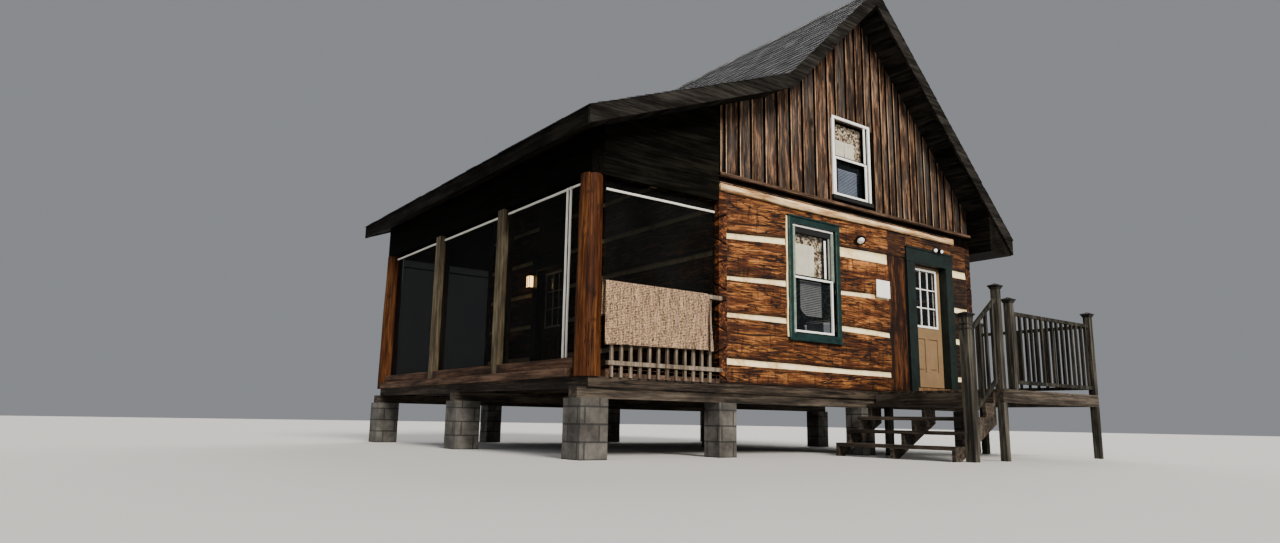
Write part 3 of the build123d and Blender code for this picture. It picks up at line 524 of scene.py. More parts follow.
def grid_faces(verts, count, width, u0, u1, holes):
    """Faces between strips of width points, apart from those whose middle is in a hole (u0, u1, z0, z1)"""
    faces = []
    for i in range(count):
        u = u0 + (u1 - u0) * (i + 0.5) / count
        for k in range(i * width, (i + 1) * width - 1):
            face = [k, k + width, k + width + 1, k + 1]
            z = sum(verts[j][2] for j in face) / 4
            if not any(a < u < b and c < z < d for a, b, c, d in holes):
                faces.append(face)
    return faces


def strips(u0, u1, step):
    """The number of strips between u0 and u1, and where each begins and ends"""
    count = max(2, int(round((u1 - u0) / step)))
    return count, [u0 + (u1 - u0) * i / count for i in range(count + 1)]


LOG_ROWS = (0, 0.012, 0.04, 0.09, 0.16, 0.25, 0.35, 0.45, 0.55, 0.65, 0.75, 0.84, 0.91, 0.96, 0.988, 1)
# Each row of a mortar joint has its height and how dark it is: painted shade, darkest under the log above
JOINT_ROWS = ((0, 0.45), (0.12, 0.08), (0.5, 0.0), (0.88, 0.4), (1, 1.0))


def log_face(shape, place, u0, u1, low, high, seed, step=0.03, holes=(), mat=0, depth=0.012, wave=0.007,
             rough=1.0, tone=None):
    """One hewn face: place(u, z, out) gives a point; low and high are lines of (u, z) points"""
    rng = random.Random(seed)
    if tone is None:
        tone = rng.random()
    shift = grain_shift(rng)
    count, stops = strips(u0, u1, step)
    verts, painted_shade_and_knots, grains = [], [], []
    for u in stops:
        end = min(u - u0, u1 - u)
        lo = along_line(low, u) + wave * waver(u * 1.7, seed, 0) + 0.3 * wave * waver(u * 9, seed, 3)
        hi = along_line(high, u) + wave * waver(u * 1.7, seed, 7) + 0.3 * wave * waver(u * 9, seed, 5)
        for s in LOG_ROWS:
            z = lo + (hi - lo) * s
            t = abs(2 * s - 1)
            # Rounded edges and ends, slow swells, scoops of the axe and a fine roughness
            out = -depth * t ** 8 - depth * 0.9 * math.exp(-end / 0.012)
            out += rough * 0.006 * waver(u * 1.1, z * 5, seed)
            out += rough * 0.006 * (abs(waver(u * 7, z * 3.2, seed + 11)) - 0.25)
            out += rough * 0.0022 * waver(u * 26, z * 60, seed + 5)
            if t == 1:
                out = -0.05
            verts.append(place(u, z, out))
            # Painted shade: darkest at the foot, where the light doesn't reach, darker along the top edge and
            # near the ends
            if s < 0.5:
                dark = max(0.0, 1 - (z - lo) / 0.05) ** 0.6
            else:
                dark = max(0.0, (t - 0.86) / 0.14) ** 1.5 * 0.8
            painted_shade_and_knots.append(min(1.0, dark + 0.5 * math.exp(-end / 0.03)))
            grains.append((u + shift.x, z - lo + shift.y, out + shift.z))
    shape.add(verts, grid_faces(verts, count, len(LOG_ROWS), u0, u1, holes), tone, painted_shade_and_knots, grains, mat)


def joint_face(shape, place, u0, u1, low, high, seed, step, holes):
    """One sunk mortar joint"""
    count, stops = strips(u0, u1, step)
    verts, painted_shade_and_knots, grains = [], [], []
    for u in stops:
        lo, hi = along_line(low, u) - 0.012, along_line(high, u) + 0.012
        for s, edge in JOINT_ROWS:
            z = lo + (hi - lo) * s
            out = -0.02 - 0.008 * s + 0.004 * waver(u * 4, z * 9, seed)
            verts.append(place(u, z, out))
            painted_shade_and_knots.append(edge)
            grains.append((u, z, out))
    shape.add(verts, grid_faces(verts, count, len(JOINT_ROWS), u0, u1, holes), 0.5, painted_shade_and_knots, grains, 1)


def bands_of(lines):
    """Mortar lines of (u, bottom, top) points as pairs of lines"""
    return [([(u, a) for u, a, b in line], [(u, b) for u, a, b in line]) for line in lines]


def log_wall(shape, place, u0, u1, bands, top, seed, step, holes=(), inside=False, tone=None):
    """Logs and mortar joints from the foot up; inside, they are of another wood and smoother"""
    mat, rough = (2, 0.6) if inside else (0, 1.0)
    low = [(u0, 0.0)]
    for k, (bottom, upper) in enumerate(bands):
        log_face(shape, place, u0, u1, low, bottom, seed + k, step, holes, mat, rough=rough, tone=tone)
        joint_face(shape, place, u0 + 0.01, u1 - 0.01, bottom, upper, seed + k, step * 1.5, holes)
        low = upper
    if top is not None:
        log_face(shape, place, u0, u1, low, top, seed + 20, step, holes, mat, rough=rough)


def wall_face(axis, at, sign):
    """place(u, z, out) on a wall: u runs along the axis, and out leads away from the plane at, along sign"""
    def place(u, z, out):
        across = at + sign * out
        return (u, across, z) if axis == "x" else (across, u, z)
    return place


# Log walls
front, front_in = wall_face("x", 0.0, -1), wall_face("x", WALL, 1)
back, back_in = wall_face("x", LENGTH, 1), wall_face("x", LENGTH - WALL, -1)
left, left_in = wall_face("y", 0.0, -1), wall_face("y", WALL, 1)
right, right_in = wall_face("y", WIDTH, 1), wall_face("y", WIDTH - WALL, -1)

front_lines = bands_of([
    [(0, 0.25, 0.33), (1.3, 0.245, 0.325), (2.4, 0.24, 0.31), (3.7, 0.235, 0.31), (6, 0.24, 0.32)],
    [(0, 0.885, 0.935), (1.3, 0.89, 0.965), (2.4, 0.88, 0.96),
     (3.7, 0.86, 0.93), (5.2, 0.89, 0.975), (6, 0.87, 0.96)],
    [(0, 1.385, 1.43), (1.3, 1.42, 1.5), (2.4, 1.43, 1.485),
     (3.7, 1.455, 1.53), (5.2, 1.43, 1.52), (6, 1.43, 1.51)],
    [(0, 1.945, 2.015), (1.3, 2.03, 2.12), (2.4, 2.02, 2.17),
     (3.7, 2.04, 2.2), (5.2, 2.05, 2.17), (6, 2.05, 2.16)],
])
back_lines = bands_of([
    [(0, 0.23, 0.3), (2, 0.24, 0.31), (4, 0.22, 0.3), (7, 0.235, 0.3)],
    [(0, 0.86, 0.93), (2.5, 0.88, 0.95), (5, 0.85, 0.93), (7, 0.87, 0.93)],
    [(0, 1.41, 1.48), (3, 1.4, 1.48), (7, 1.42, 1.49)],
    [(0, 2.03, 2.1), (2, 2.04, 2.12), (7, 2.02, 2.1)],
])
# The side logs lie half a course off the front ones
side_lines = bands_of([
    [(0, z, z + 0.07), (2.3, z + 0.012, z + 0.085), (4.6, z - 0.01, z + 0.065), (7, z, z + 0.07)]
    for z in (0.545, 1.135, 1.72, 2.325, 2.935)
])
left_lines = side_lines + bands_of([[(0, 3.545, 3.615), (7, 3.545, 3.615)]])


def eave_line(x):
    z = roof_top(x) - ROOF_THICK - 0.01
    return [(0, z), (LENGTH, z)]


# Window openings as (u0, u1, z0, z1) on their own walls
WINDOW, BACK_WINDOW, SIDE_WINDOW = ((u, u + 1.0, 0.74, 2.4) for u in (1.37, 2.5, 3.0))
LOGS = (log_wood, mortar_mat, log_inner)
INSET = 0.14
top_line = [(0, TOP), (WIDTH, TOP)]

shape = Shape("front_logs")
log_wall(shape, front, INSET, 3.66, front_lines, top_line, 31, 0.026, (WINDOW,))
# The top log runs over the door post and the doorway; it and the logs right of the door get low tones,
# painted shade under the eave
log_face(shape, front, 3.66, WIDTH - INSET,
         [(3.66, 2.2), (4.1, 2.2), (4.13, 2.39), (5.4, 2.39), (5.42, 2.17), (6, 2.17)],
         top_line, 53, 0.026, tone=-0.65)
log_wall(shape, front, 5.36, WIDTH - INSET, front_lines, None, 71, 0.026, tone=-1.25)
log_wall(shape, front_in, WALL, 3.72, front_lines, top_line, 91, 0.08, (WINDOW,), True)
log_wall(shape, front_in, 5.24, WIDTH - WALL, front_lines, top_line, 97, 0.08, (), True)
shape.make(LOGS, "hewn_log", "front_wall", 50)

# Upright hewn timber beside the door, its low tone a painted shade
shape = Shape("door_timber")
log_face(shape, lambda u, z, out: (4.1 - z, -out, u), 0.0, 2.2, [(0, 0.0)], [(0, 0.47)], 61,
         depth=0.014, tone=-0.75)
log_face(shape, lambda u, z, out: (3.7 + z, WALL + out, u), 0.0, TOP, [(0, 0.0)], [(0, 0.55)], 62, 0.1, mat=1)
shape.make([corner_wood, log_inner], "hewn_log", "door_post", 50)

for side, outer, inner, span, lines, top, seed, hole in (
        ("back", back, back_in, WIDTH, back_lines, top_line, 131, BACK_WINDOW),
        ("right", right, right_in, LENGTH, side_lines, eave_line(WIDTH), 231, SIDE_WINDOW)):
    shape = Shape(side + "_logs")
    log_wall(shape, outer, INSET, span - INSET, lines, top, seed, 0.045, (hole,))
    log_wall(shape, inner, WALL, span - WALL, lines, top, seed + 20, 0.09, (hole,), True)
    shape.make(LOGS, "hewn_log", side + "_wall", 50)

shape = Shape("left_logs")
top = eave_line(0.0)
for a, b, seed in ((INSET, 3.96, 331), (4.96, LENGTH - INSET, 351)):
    log_wall(shape, left, a, b, left_lines, top, seed, 0.05)
    log_wall(shape, left_in, max(a, WALL), min(b, LENGTH - WALL), left_lines, top, seed + 40, 0.1, (), True)
shape.make(LOGS, "hewn_log", "left_wall", 50)

# Corners of stacked dovetailed log ends: every seam climbs inward on the front and falls inward on the side
joints = [(0.0, 0)] + [(c + s * 0.158, s) for c in (0.265, 0.895, 1.445, 2.065) for s in (-1, 1)] + [(TOP, 0)]


def log_end(shape, corner, inward, k, foot, head):
    """One log end between two seams (height, lean), a ring of eight points at five levels"""
    verts, grains, painted_shade_and_knots = [], [], []
    inset = (0.002, 0.007, 0.004)[(k + corner[0] + corner[1]) % 3]
    w, c = 0.152, 0.012
    outline = ((c, 0), (w - c, 0), (w, c), (w, w - c), (w - c, w), (c, w), (0, w - c), (0, c))
    layers = ((foot, 0.004, 0.012), (foot, 0.018, 0.0), (None, 0, 0.0),
              (head, -0.018, 0.0), (head, -0.004, 0.012))
    for level, rise, shrink in layers:
        for p, q in outline:
            low, high = (height + lean * 0.35 * (p - q) for height, lean in (foot, head))
            z = (low + high) / 2 if level is None else (low if level is foot else high) + rise
            p1, q1 = (min(max(value, inset + shrink), w - inset - shrink) for value in (p, q))
            if level is None:
                bulge = abs(0.004 * waver(p * 30, q * 30, z * 9 + corner[0]))
                p1, q1 = p1 - bulge * (p < w / 2), q1 - bulge * (q < w / 2)
            verts.append((corner[0] + inward[0] * p1, corner[1] + inward[1] * q1, z))
            # Painted shade in the seams: the rims at the foot and head of each end are dark
            painted_shade_and_knots.append(1.0 if shrink else 0.15)
            # End grain shows on the faces where the log is cut through
            grains.append((q1 * 2 + k, p1 + corner[0], z) if k % 2 else (p1 * 2 + k, q1 + corner[1], z))
    # Painted shade: the corner nearest the front door is the darkest
    shade = 1.3 if corner == (6, 0) else 0.0
    shape.add(verts, tube_faces(len(layers), 8), (0.75 if k % 2 else 0.35) - shade, painted_shade_and_knots, grains)


shape = Shape("corner_log_ends")
for corner, inward in (((0, 0), (1, 1)), ((0, 7), (1, -1)), ((6, 0), (-1, 1)), ((6, 7), (-1, -1))):
    for k, (foot, head) in enumerate(zip(joints, joints[1:])):
        log_end(shape, corner, inward, k, foot, head)
    # A near-black core behind the log ends, painted shade in the seams
    (x0, x1), (y0, y1) = (sorted((at + way * 0.014, at + way * 0.148)) for at, way in zip(corner, inward))
    box(shape, (x0, y0, 0), (x1, y1, TOP), 0.004, 0.2, 1, 2)
shape.make([corner_wood, backing_shade], "hewn_log", "corner_posts", 30)

# Pale top board with a wavy live edge, under a thin brown strip
shape = Shape("pale_top_board")
log_face(shape, wall_face("x", -0.04, -1), 0.0, 5.46,
         [(0, 2.6), (0.8, 2.59), (2.0, 2.585), (3.2, 2.6), (4.4, 2.615), (5.46, 2.615)],
         [(0, 2.69), (2, 2.675), (5.46, 2.7)], 401, 0.05, wave=0.018, depth=0.006, rough=0.5, tone=0.5)
box(shape, (0.002, -0.034, 2.612), (5.458, 0.012, 2.69), 0.003)
box(shape, (0.0, -0.022, 2.69), (5.48, 0.004, 2.722), 0.004, 0.4, 1, 0, 0.002, 30)
shape.make([pale_wood, gable_wood], "pale_board", "plate_board", 50)

# Gables
board_joints = (0.0, 0.10, 0.37, 0.61, 0.88, 1.14, 1.415, 1.685, 1.965, 2.255, 2.46, 2.72, 2.96, 3.17, 3.37,
                3.59, 3.76, 3.94, 4.10, 4.34, 4.53, 4.73, 4.92, 5.13, 5.33, 5.55, 5.77, 6.0)
for name, face, ledge, out in (("front_gable_boards", 0.03, 0.0, -1), ("back_gable_boards", 6.97, LENGTH, 1)):
    shape = Shape(name)
    rng = random.Random(11 if out < 0 else 12)
    for a, b in zip(board_joints, board_joints[1:]):
        mid = (a + b) / 2
        # The boards over the window start above it
        foot = 4.2 if 2.3 <= a < 3.2 else 2.855
        slope = -SLOPE if mid > RIDGE_X else SLOPE if mid > BREAK_X else PORCH_SLOPE
        top_z = roof_top(mid) - ROOF_THICK
        cut = ((mid, face, top_z - 0.005), (-slope, 0, 1))
        thick = rng.uniform(0.006, 0.009)
        y = face + out * thick / 2
        # Painted shade: the boards darken towards the right, under the long eave
        tone = rng.random() - 0.5 * min(1.0, max(0.0, (mid - 3.2) / 1.4))
        seed = int(a * 100)
        # A dark gap on the left over the near-black backing, a painted shadow; a thin arris beside it,
        # lighter as a painted highlight; then the board
        for x, wide, deep, n, bevel, wobble, shade, mat in (
                (a + 0.056, 0.013, thick + 0.002, 4, 0.002, 0.001, 0.4 + 0.6 * tone, 1),
                ((a + b + 0.058) / 2, b - a - 0.064, thick, 10, 0.003, 0.0018, tone, 0)):
            beam(shape, (x, y, foot), (x, y, top_z), wide, deep, (1, 0, 0), n, bevel, wobble, shade, seed,
                 cut, mat)
    # The ledge under the boards
    beam(shape, (0, ledge, 2.832), (WIDTH, ledge, 2.832), 0.046, 0.074, (0, 0, 1), 30, 0.005, 0.001, 0.9, 5,
         mat=2)
    shape.make([gable_wood, arris_highlight_wood, brown_x], "gable_board", smooth=30)


# Windows and doors
def slabs(shape, place, *boards):
    """Boards between two corners given as place(u, z, out): (u0, u1, z0, z1, out0, out1, bevel, material)"""
    for u0, u1, z0, z1, out0, out1, *finish in boards:
        bevel, mat = (*finish, *(0.003, 0)[len(finish):])
        p, q = place(u0, z0, out0), place(u1, z1, out1)
        low, high = ([pick(pair) for pair in zip(p, q)] for pick in (min, max))
        size = [h - l for l, h in zip(low, high)]
        box(shape, low, high, bevel, 0.5, mat, size.index(max(size)))


def ring(shape, place, u0, u1, z0, z1, side, top, foot, out0, out1, bevel=0.002, mat=1):
    """Four boards round an opening"""
    a, b = u0 + side, u1 - side
    slabs(shape, place, (u0, a, z0, z1, out0, out1, bevel, mat), (b, u1, z0, z1, out0, out1, bevel, mat),
          (a - 0.001, b + 0.001, z1 - top, z1, out0, out1 - 0.001, bevel, mat),
          (a - 0.001, b + 0.001, z0, z0 + foot, out0, out1 - 0.001, bevel, mat))


def blinds(shape, u0, u1, z0, z1, place, behind, mat=0, pitch=0.026, notch=0.0):
    """Slats that lean back, the lowest ones cut short by notch on the left"""
    count = int((z1 - z0) / pitch)
    for i in range(count):
        z = z0 + (z1 - z0) * (i + 0.5) / count
        a = u0 + notch * max(0.0, 1 - (z - z0) / 0.12) ** 2
        verts = []
        for drop in (0.0, 0.002):
            lip, heel = (z - 0.01 + drop, -behind - drop), (z + 0.011 + drop, -behind - 0.012 - drop)
            verts += [place(a, *lip), place(u1, *lip), place(u1, *heel), place(a, *heel)]
        faces = [(0, 1, 2, 3), (7, 6, 5, 4), (0, 4, 5, 1), (1, 5, 6, 2), (2, 6, 7, 3), (3, 7, 4, 0)]
        shape.add(verts, faces, mat=mat)


def curtain(shape, place, u0, u1, z0, z1, behind, mat, folds):
    """A hanging panel with shallow folds"""
    count = 24
    verts = []
    for i in range(count + 1):
        u = u0 + (u1 - u0) * i / count
        depth = behind + 0.006 * math.sin(folds * math.tau * i / count)
        verts += [place(u, z0, -depth), place(u, z1, -depth)]
    faces = [(2 * i, 2 * i + 2, 2 * i + 3, 2 * i + 1) for i in range(count)]
    shape.add(verts, faces, mat=mat)


green_shape, blind_shape = Shape("green_trim_boards"), Shape("blinds")
sash_shape, upper_shape = Shape("window_sash_frames"), Shape("upper_window_frames")
for place, a, b in ((front, 1.31, 2.43), (back, 2.44, 3.56), (right, 2.94, 4.06)):
    c, d, mid = 0.68, 2.46, 1.585
    # Drip cap and sill, then the raised outer edge and the stops inside the casing; the left outer edge and
    # the right stop are lighter green, a painted highlight
    slabs(green_shape, place,
          (a - 0.012, b + 0.012, d - 0.002, d + 0.022, -0.005, 0.048),
          (a - 0.012, b + 0.012, c - 0.024, c + 0.012, -0.005, 0.055),
          (a, a + 0.034, c + 0.012, d - 0.002, 0.028, 0.036, 0.003, 1),
          (b - 0.094, b - 0.07, c + 0.09, d - 0.09, 0.028, 0.034, 0.003, 1),
          (a + 0.04, a + 0.088, c + 0.05, d - 0.05, 0.03, 0.035))
    u0, u1, z0, z1 = a + 0.09, b - 0.09, c + 0.09, d - 0.09
    # Dark rebate, pale storm frame, then the lower sash in front of the upper one; the rebate and the dark
    # strips under the head and over the meeting rail are painted shade
    ring(sash_shape, place, u0 - 0.02, u1 + 0.02, z0 - 0.02, z1 + 0.02, 0.1, 0.055, 0.04, -0.06, -0.034)
    slabs(sash_shape, place,
          (u0 + 0.01, u0 + 0.09, z0, z1, -0.034, -0.008, 0.002, 2),
          (u1 - 0.068, u1 - 0.01, mid, z1 - 0.02, -0.034, -0.008, 0.002, 2),
          (u0 + 0.04, u1 - 0.02, z1 - 0.032, z1 - 0.006, -0.034, -0.004, 0.002),
          (u0 + 0.08, u1 - 0.06, z1 - 0.12, z1 - 0.032, -0.034, -0.02, 0.002, 1),
          (u0 + 0.07, u1 - 0.05, mid - 0.013, mid + 0.014, -0.034, -0.002, 0.002),
          (u0 + 0.07, u1 - 0.06, mid + 0.014, mid + 0.042, -0.034, -0.02, 0.002, 1),
          (u0 + 0.06, u1 - 0.05, z0 + 0.018, z0 + 0.046, -0.034, -0.002, 0.002),
          (u1 - 0.078, u1 - 0.052, z0 + 0.02, mid + 0.014, -0.034, -0.003, 0.002),
          (u1 - 0.2, u1 - 0.165, mid + 0.04, z1 - 0.16, -0.04, -0.028, 0.002),
          (u1 - 0.112, u1 - 0.082, mid + 0.04, z1 - 0.1, -0.04, -0.028, 0.002, 3))
    curtain(blind_shape, place, u0 + 0.1, u1 - 0.16, 1.62, 2.26, 0.11, 3, 7)
    curtain(blind_shape, place, u0 + 0.08, u1 - 0.35, 1.62, 2.11, 0.1, 1, 1.5)
    blinds(blind_shape, u0 + 0.28, u1 - 0.2, 1.05, 1.57, place, 0.1, notch=0.13)

# Thin mortar line along the window casing's left edge
shape = Shape("casing_mortar_line")
box(shape, (1.288, -0.012, 0.7), (1.312, 0.01, 2.46), 0.005, 0.5, 0, 2, 0.003, 14)
shape.make([mortar_mat], "pale_board", smooth=40)

# Upper windows: dark rebate, white casing, then the two sashes; the rebate, the dark line under the sill and
# the one over the meeting rail are painted shade
for place in (wall_face("x", 0.0, -1), wall_face("x", LENGTH, 1)):
    ring(upper_shape, place, 2.35, 3.28, 2.94, 4.27, 0.1, 0.06, 0.05, -0.06, -0.022)
    slabs(upper_shape, place,
          (2.36, 2.412, 2.97, 4.262, -0.03, 0.006),
          (3.228, 3.275, 2.97, 4.262, -0.03, 0.006),
          (2.36, 3.275, 4.222, 4.262, -0.03, 0.005),
          (2.335, 3.295, 2.905, 2.972, -0.03, 0.03, 0.003, 1),
          (2.4, 3.19, 2.972, 3.018, -0.024, -0.002),
          (2.4, 3.185, 3.572, 3.606, -0.024, -0.003),
          (2.4, 3.185, 3.606, 3.626, -0.024, -0.012, 0.003, 1),
          (2.4, 2.442, 2.99, 3.6, -0.024, -0.004),
          (3.15, 3.19, 2.99, 3.6, -0.024, -0.004),
          (3.145, 3.178, 3.6, 4.225, -0.03, -0.012))
    curtain(blind_shape, place, 2.44, 3.2, 3.63, 4.2, 0.125, 3, 6)
    curtain(blind_shape, place, 2.44, 3.02, 3.63, 3.93, 0.115, 1, 2)
    blinds(blind_shape, 2.62, 3.08, 3.06, 3.47, place, 0.12, 2, 0.024)

# Door casings and heads
for place, a, b, inner_a, inner_b in ((front, 4.1, 5.38, 4.254, 5.246), (left, 3.86, 5.06, 3.964, 4.956)):
    slabs(green_shape, place,
          (a, inner_a + 0.01, 0.0, 2.16, -0.03, 0.034, 0.004, 2),
          (inner_b - 0.01, b, 0.0, 2.16, -0.03, 0.034, 0.004, 2),
          (a - 0.01, b + 0.01, 2.16, 2.385, -0.03, 0.038, 0.004, 2),
          (a - 0.02, b + 0.02, 2.385, 2.41, -0.02, 0.055, 0.004, 2),
          (inner_a + 0.06, inner_a + 0.075, 0.12, 2.15, -0.105, -0.08, 0.004, 2))
green_shape.make([green, green_highlight_and_wear, shade_green], "green_paint", smooth=30)
sash_shape.make([bright, rebate_shade_paint, storm_paint, sash_shade_paint], "white_trim", "window_sashes", 30)
upper_shape.make([bright, rebate_shade_paint], "white_trim", "upper_windows", 30)
blind_shape.make([blind_mat, shade_mat, blue_blind, lace_mat], "white_trim")


def door(node, place):
    """A glazed leaf, three by three lights over two upright panels; place(u, z, out) from its free edge"""
    shape = Shape(node + "_leaf")
    w, h, t, stile = 0.86, 2.03, 0.045, 0.13
    g0, g1, lock, kick = 1.01, 1.955, 0.8, 0.25
    inner, mid = w - stile, w / 2
    slabs(shape, place, (0, stile, 0, h, 0, t), (inner, w, 0, h, 0, t), (stile, inner, g1, h, 0, t),
          (stile, inner, lock, g0, 0, t), (stile, inner, 0, kick, 0, t),
          (mid - 0.05, mid + 0.05, kick, lock, 0, t))
    for u in (stile, mid + 0.05):
        slabs(shape, place, (u, u + mid - 0.18, kick, lock, 0.016, t - 0.016),
              (u + 0.04, u + mid - 0.22, 0.29, 0.76, 0.004, t - 0.004, 0.011))
    # Raised moulding round the glass, then the lights
    for d0, d1 in ((-0.012, 0.002), (t - 0.002, t + 0.012)):
        ring(shape, place, 0.105, w - 0.105, g0 - 0.025, g1 + 0.03, 0.035, 0.035, 0.035, d0, d1, 0.003)
    for k in (1, 2):
        u, z = stile + 0.6 * k / 3, g0 + (g1 - g0) * k / 3
        slabs(shape, place, (u - 0.009, u + 0.009, g0, g1, 0.011, t - 0.011, 0.003, 1),
              (stile, inner, z - 0.009, z + 0.009, 0.011, t - 0.011, 0.003, 1))
    slabs(shape, place, (0.12, w - 0.12, g0 - 0.01, g1 + 0.01, t / 2 - 0.003, t / 2 + 0.003, 0.001, 2))
    for lift in (0.18, 0.965, 1.75):
        slabs(shape, place, (w - 0.045, w - 0.0043, lift, lift + 0.1, t - 0.001, t + 0.014, 0.002, 3))
    # Knob and its plate on both faces
    for d, sign in ((0, -1), (t, 1)):
        slabs(shape, place, (0.045, 0.095, 0.86, 0.98, *sorted((d, d + sign * 0.004)), 0.0015, 3))
        rings = ((0.0, 0.011), (0.022, 0.011), (0.028, 0.024), (0.045, 0.028), (0.056, 0.02), (0.06, 0.004))
        verts = [place(0.07 + radius * math.cos(angle), 0.92 + radius * math.sin(angle), d + sign * depth)
                 for depth, radius in rings for angle in circle(16)]
        shape.add(verts, tube_faces(len(rings), 16)[1:], mat=3)
    shape.make([cream, bright, clear_glass, steel], "cream_paint", node, 35, node)


door("front_door", lambda u, z, d: (4.32 + u, 0.105 + d, 0.12 + z))
door("porch_door", lambda u, z, d: (0.105 + d, 4.03 + u, 0.12 + z))


# Roof
def shingles(shape, low, high, seed, exposure=0.14):
    """Courses of tabs over a slope from low (x, z) up to high (x, z)"""
    rng = random.Random(seed)
    a, b = Vector((low[0], 0, low[1])), Vector((high[0], 0, high[1]))
    up = (b - a).normalized()
    normal = Vector((-up.z, 0, up.x))
    if normal.z < 0:
        normal = -normal
    length = (b - a).length
    near, far = ROOF_FRONT - 0.012, ROOF_BACK + 0.012
    count = int(length / exposure)
    for course in range(count):
        start = length * course / count
        top = min(length, start + exposure * 1.25)
        y = near - rng.random() * 0.2
        while y < far:
            wide = rng.choice((0.17, 0.23, 0.31))
            y0, y1 = max(y, near), min(y + wide, far)
            y += wide
            if y1 - y0 < 0.02:
                continue
            drop = rng.choice((0.0, 0.006, 0.014)) - 0.012
            lift = rng.choice((0.006, 0.011))
            p, q = a + up * (start + drop), a + up * top
            verts = []
            for point, out in ((p, 0.001), (p, lift + 0.003), (q, 0.002), (q, -0.002)):
                for edge in (y0 + 0.003, y1 - 0.003):
                    v = point + normal * out
                    verts.append((v.x, edge, v.z))
            faces = [(2, 3, 5, 4), (0, 1, 3, 2), (0, 2, 4, 6), (1, 7, 5, 3)]
            # The edge values mark each tab's butt for its painted shadow
            shape.add(verts, faces, rng.random(), (1, 1, 0.5, 0.5, 0, 0, 0, 0))


shape = Shape("roof_shingles")
shingles(shape, (RIGHT_EAVE_X + 0.012, roof_top(RIGHT_EAVE_X) - 0.012), (RIDGE_X, RIDGE_Z), 501)
shingles(shape, (BREAK_X, BREAK_Z), (RIDGE_X, RIDGE_Z), 502)
shingles(shape, (EAVE_X - 0.012, EAVE_Z - 0.005), (BREAK_X, BREAK_Z), 503)
# Folded tabs along the ridge
rng = random.Random(504)
for i in range(34):
    y0 = ROOF_FRONT - 0.01 + i * (ROOF_BACK - ROOF_FRONT + 0.02) / 34
    verts = []
    for y, rise in ((y0, 0.012), (y0 + 0.25, 0.004)):
        for x in (-0.14, -0.015, 0.015, 0.14):
            z = RIDGE_Z - SLOPE * max(0, abs(x) - 0.01) + rise + 0.004
            verts.append((RIDGE_X + x, min(y, ROOF_BACK + 0.012), z))
    verts += [(x, y, z - 0.012) for x, y, z in verts[:4]]
    faces = [(0, 1, 5, 4), (1, 2, 6, 5), (2, 3, 7, 6), (8, 9, 1, 0), (9, 10, 2, 1), (10, 11, 3, 2)]
    shape.add(verts, faces, rng.random())
shape.make([shingle_mat], "shingle")


# Porch
def log_post(shape, x, y, seed, knots):
    """A peeled tapering trunk with checks, bumps and knots (height, angle, size)"""
    rings, sides, height = 60, 40, 2.45
    verts, painted_shade_and_knots, grains = [], [], []
    for i in range(rings + 1):
        z = height * i / rings
        radius = 0.17 - 0.025 * i / rings
        lean = 0.006 * waver(z * 1.1, seed, 0)
        for angle in circle(sides):
            cos, sin = math.cos(angle), math.sin(angle)
            r = radius - 0.008 + 0.008 * waver(cos * 1.4, sin * 1.4, z * 1.3 + seed)
            r += 0.003 * waver(cos * 7, sin * 7, z * 2.2 + seed)
            dark = 0.0
            for knot_z, knot_angle, size in knots:
                away = math.hypot(z - knot_z, math.remainder(angle - knot_angle, math.tau) * radius) / size
                if away < 2.5:
                    r += 0.011 * math.exp(-away ** 2) - 0.009 * math.exp(-(away * 2.4) ** 2)
                    dark = max(dark, math.exp(-((away - 0.8) * 3) ** 2) * 0.7, math.exp(-(away * 3) ** 2))
            verts.append((x + lean + cos * r, y + sin * r, z))
            painted_shade_and_knots.append(dark)
            grains.append((z + seed, cos * radius, sin * radius))
    shape.add(verts, tube_faces(rings + 1, sides), 0.6, painted_shade_and_knots, grains)


POST_X, POST_FRONT, POST_BACK = -1.97, 0.13, 6.87
shape = Shape("peeled_log_posts")
seen = math.radians(-127)
log_post(shape, POST_X, POST_FRONT, 1.7, (
    (2.2, seen - 0.15, 0.03), (2.02, seen + 0.95, 0.045), (1.93, seen + 1.05, 0.035),
    (1.66, seen - 0.45, 0.03), (1.02, seen + 0.25, 0.042), (0.97, seen + 0.5, 0.035),
    (0.66, seen + 0.5, 0.03), (0.35, seen + 2, 0.04), (1.6, seen + 2.6, 0.04)))
log_post(shape, POST_X, POST_BACK, 5.2, (
    (2.0, 1.0, 0.035), (1.3, 2.2, 0.04), (0.7, 0.4, 0.03), (1.7, -2.4, 0.04)))
shape.make([post_wood], "peeled_log", "porch_log_posts", 60)

# Each bay between two posts, clear of a log post by more than of a square one
BAY = (POST_BACK - POST_FRONT) / 3
spans = []
for k, (before, after) in enumerate(((0.175, 0.09), (0.09, 0.09), (0.09, 0.175))):
    spans.append((POST_FRONT + k * BAY + before, POST_FRONT + (k + 1) * BAY - after))

shape = Shape("insect_screens")
for a, b in spans:
    shape.add([(POST_X, a, 0.23), (POST_X, b, 0.23), (POST_X, b, 2.45), (POST_X, a, 2.45)], [(0, 1, 2, 3)])
for y in (0.09, 6.91):
    shape.add([(-1.795, y, 0.1), (0.0, y, 0.1), (0.0, y, 2.45), (-1.795, y, 2.45)], [(0, 1, 2, 3)])
shape.make([screen_mat], "screen_mesh", "porch_screens")

shape = Shape("screen_battens")


def batten(start, end, width, side=(0, 0, 1), wobble=0.001):
    beam(shape, start, end, width, 0.02, side, 8, 0.003, wobble)


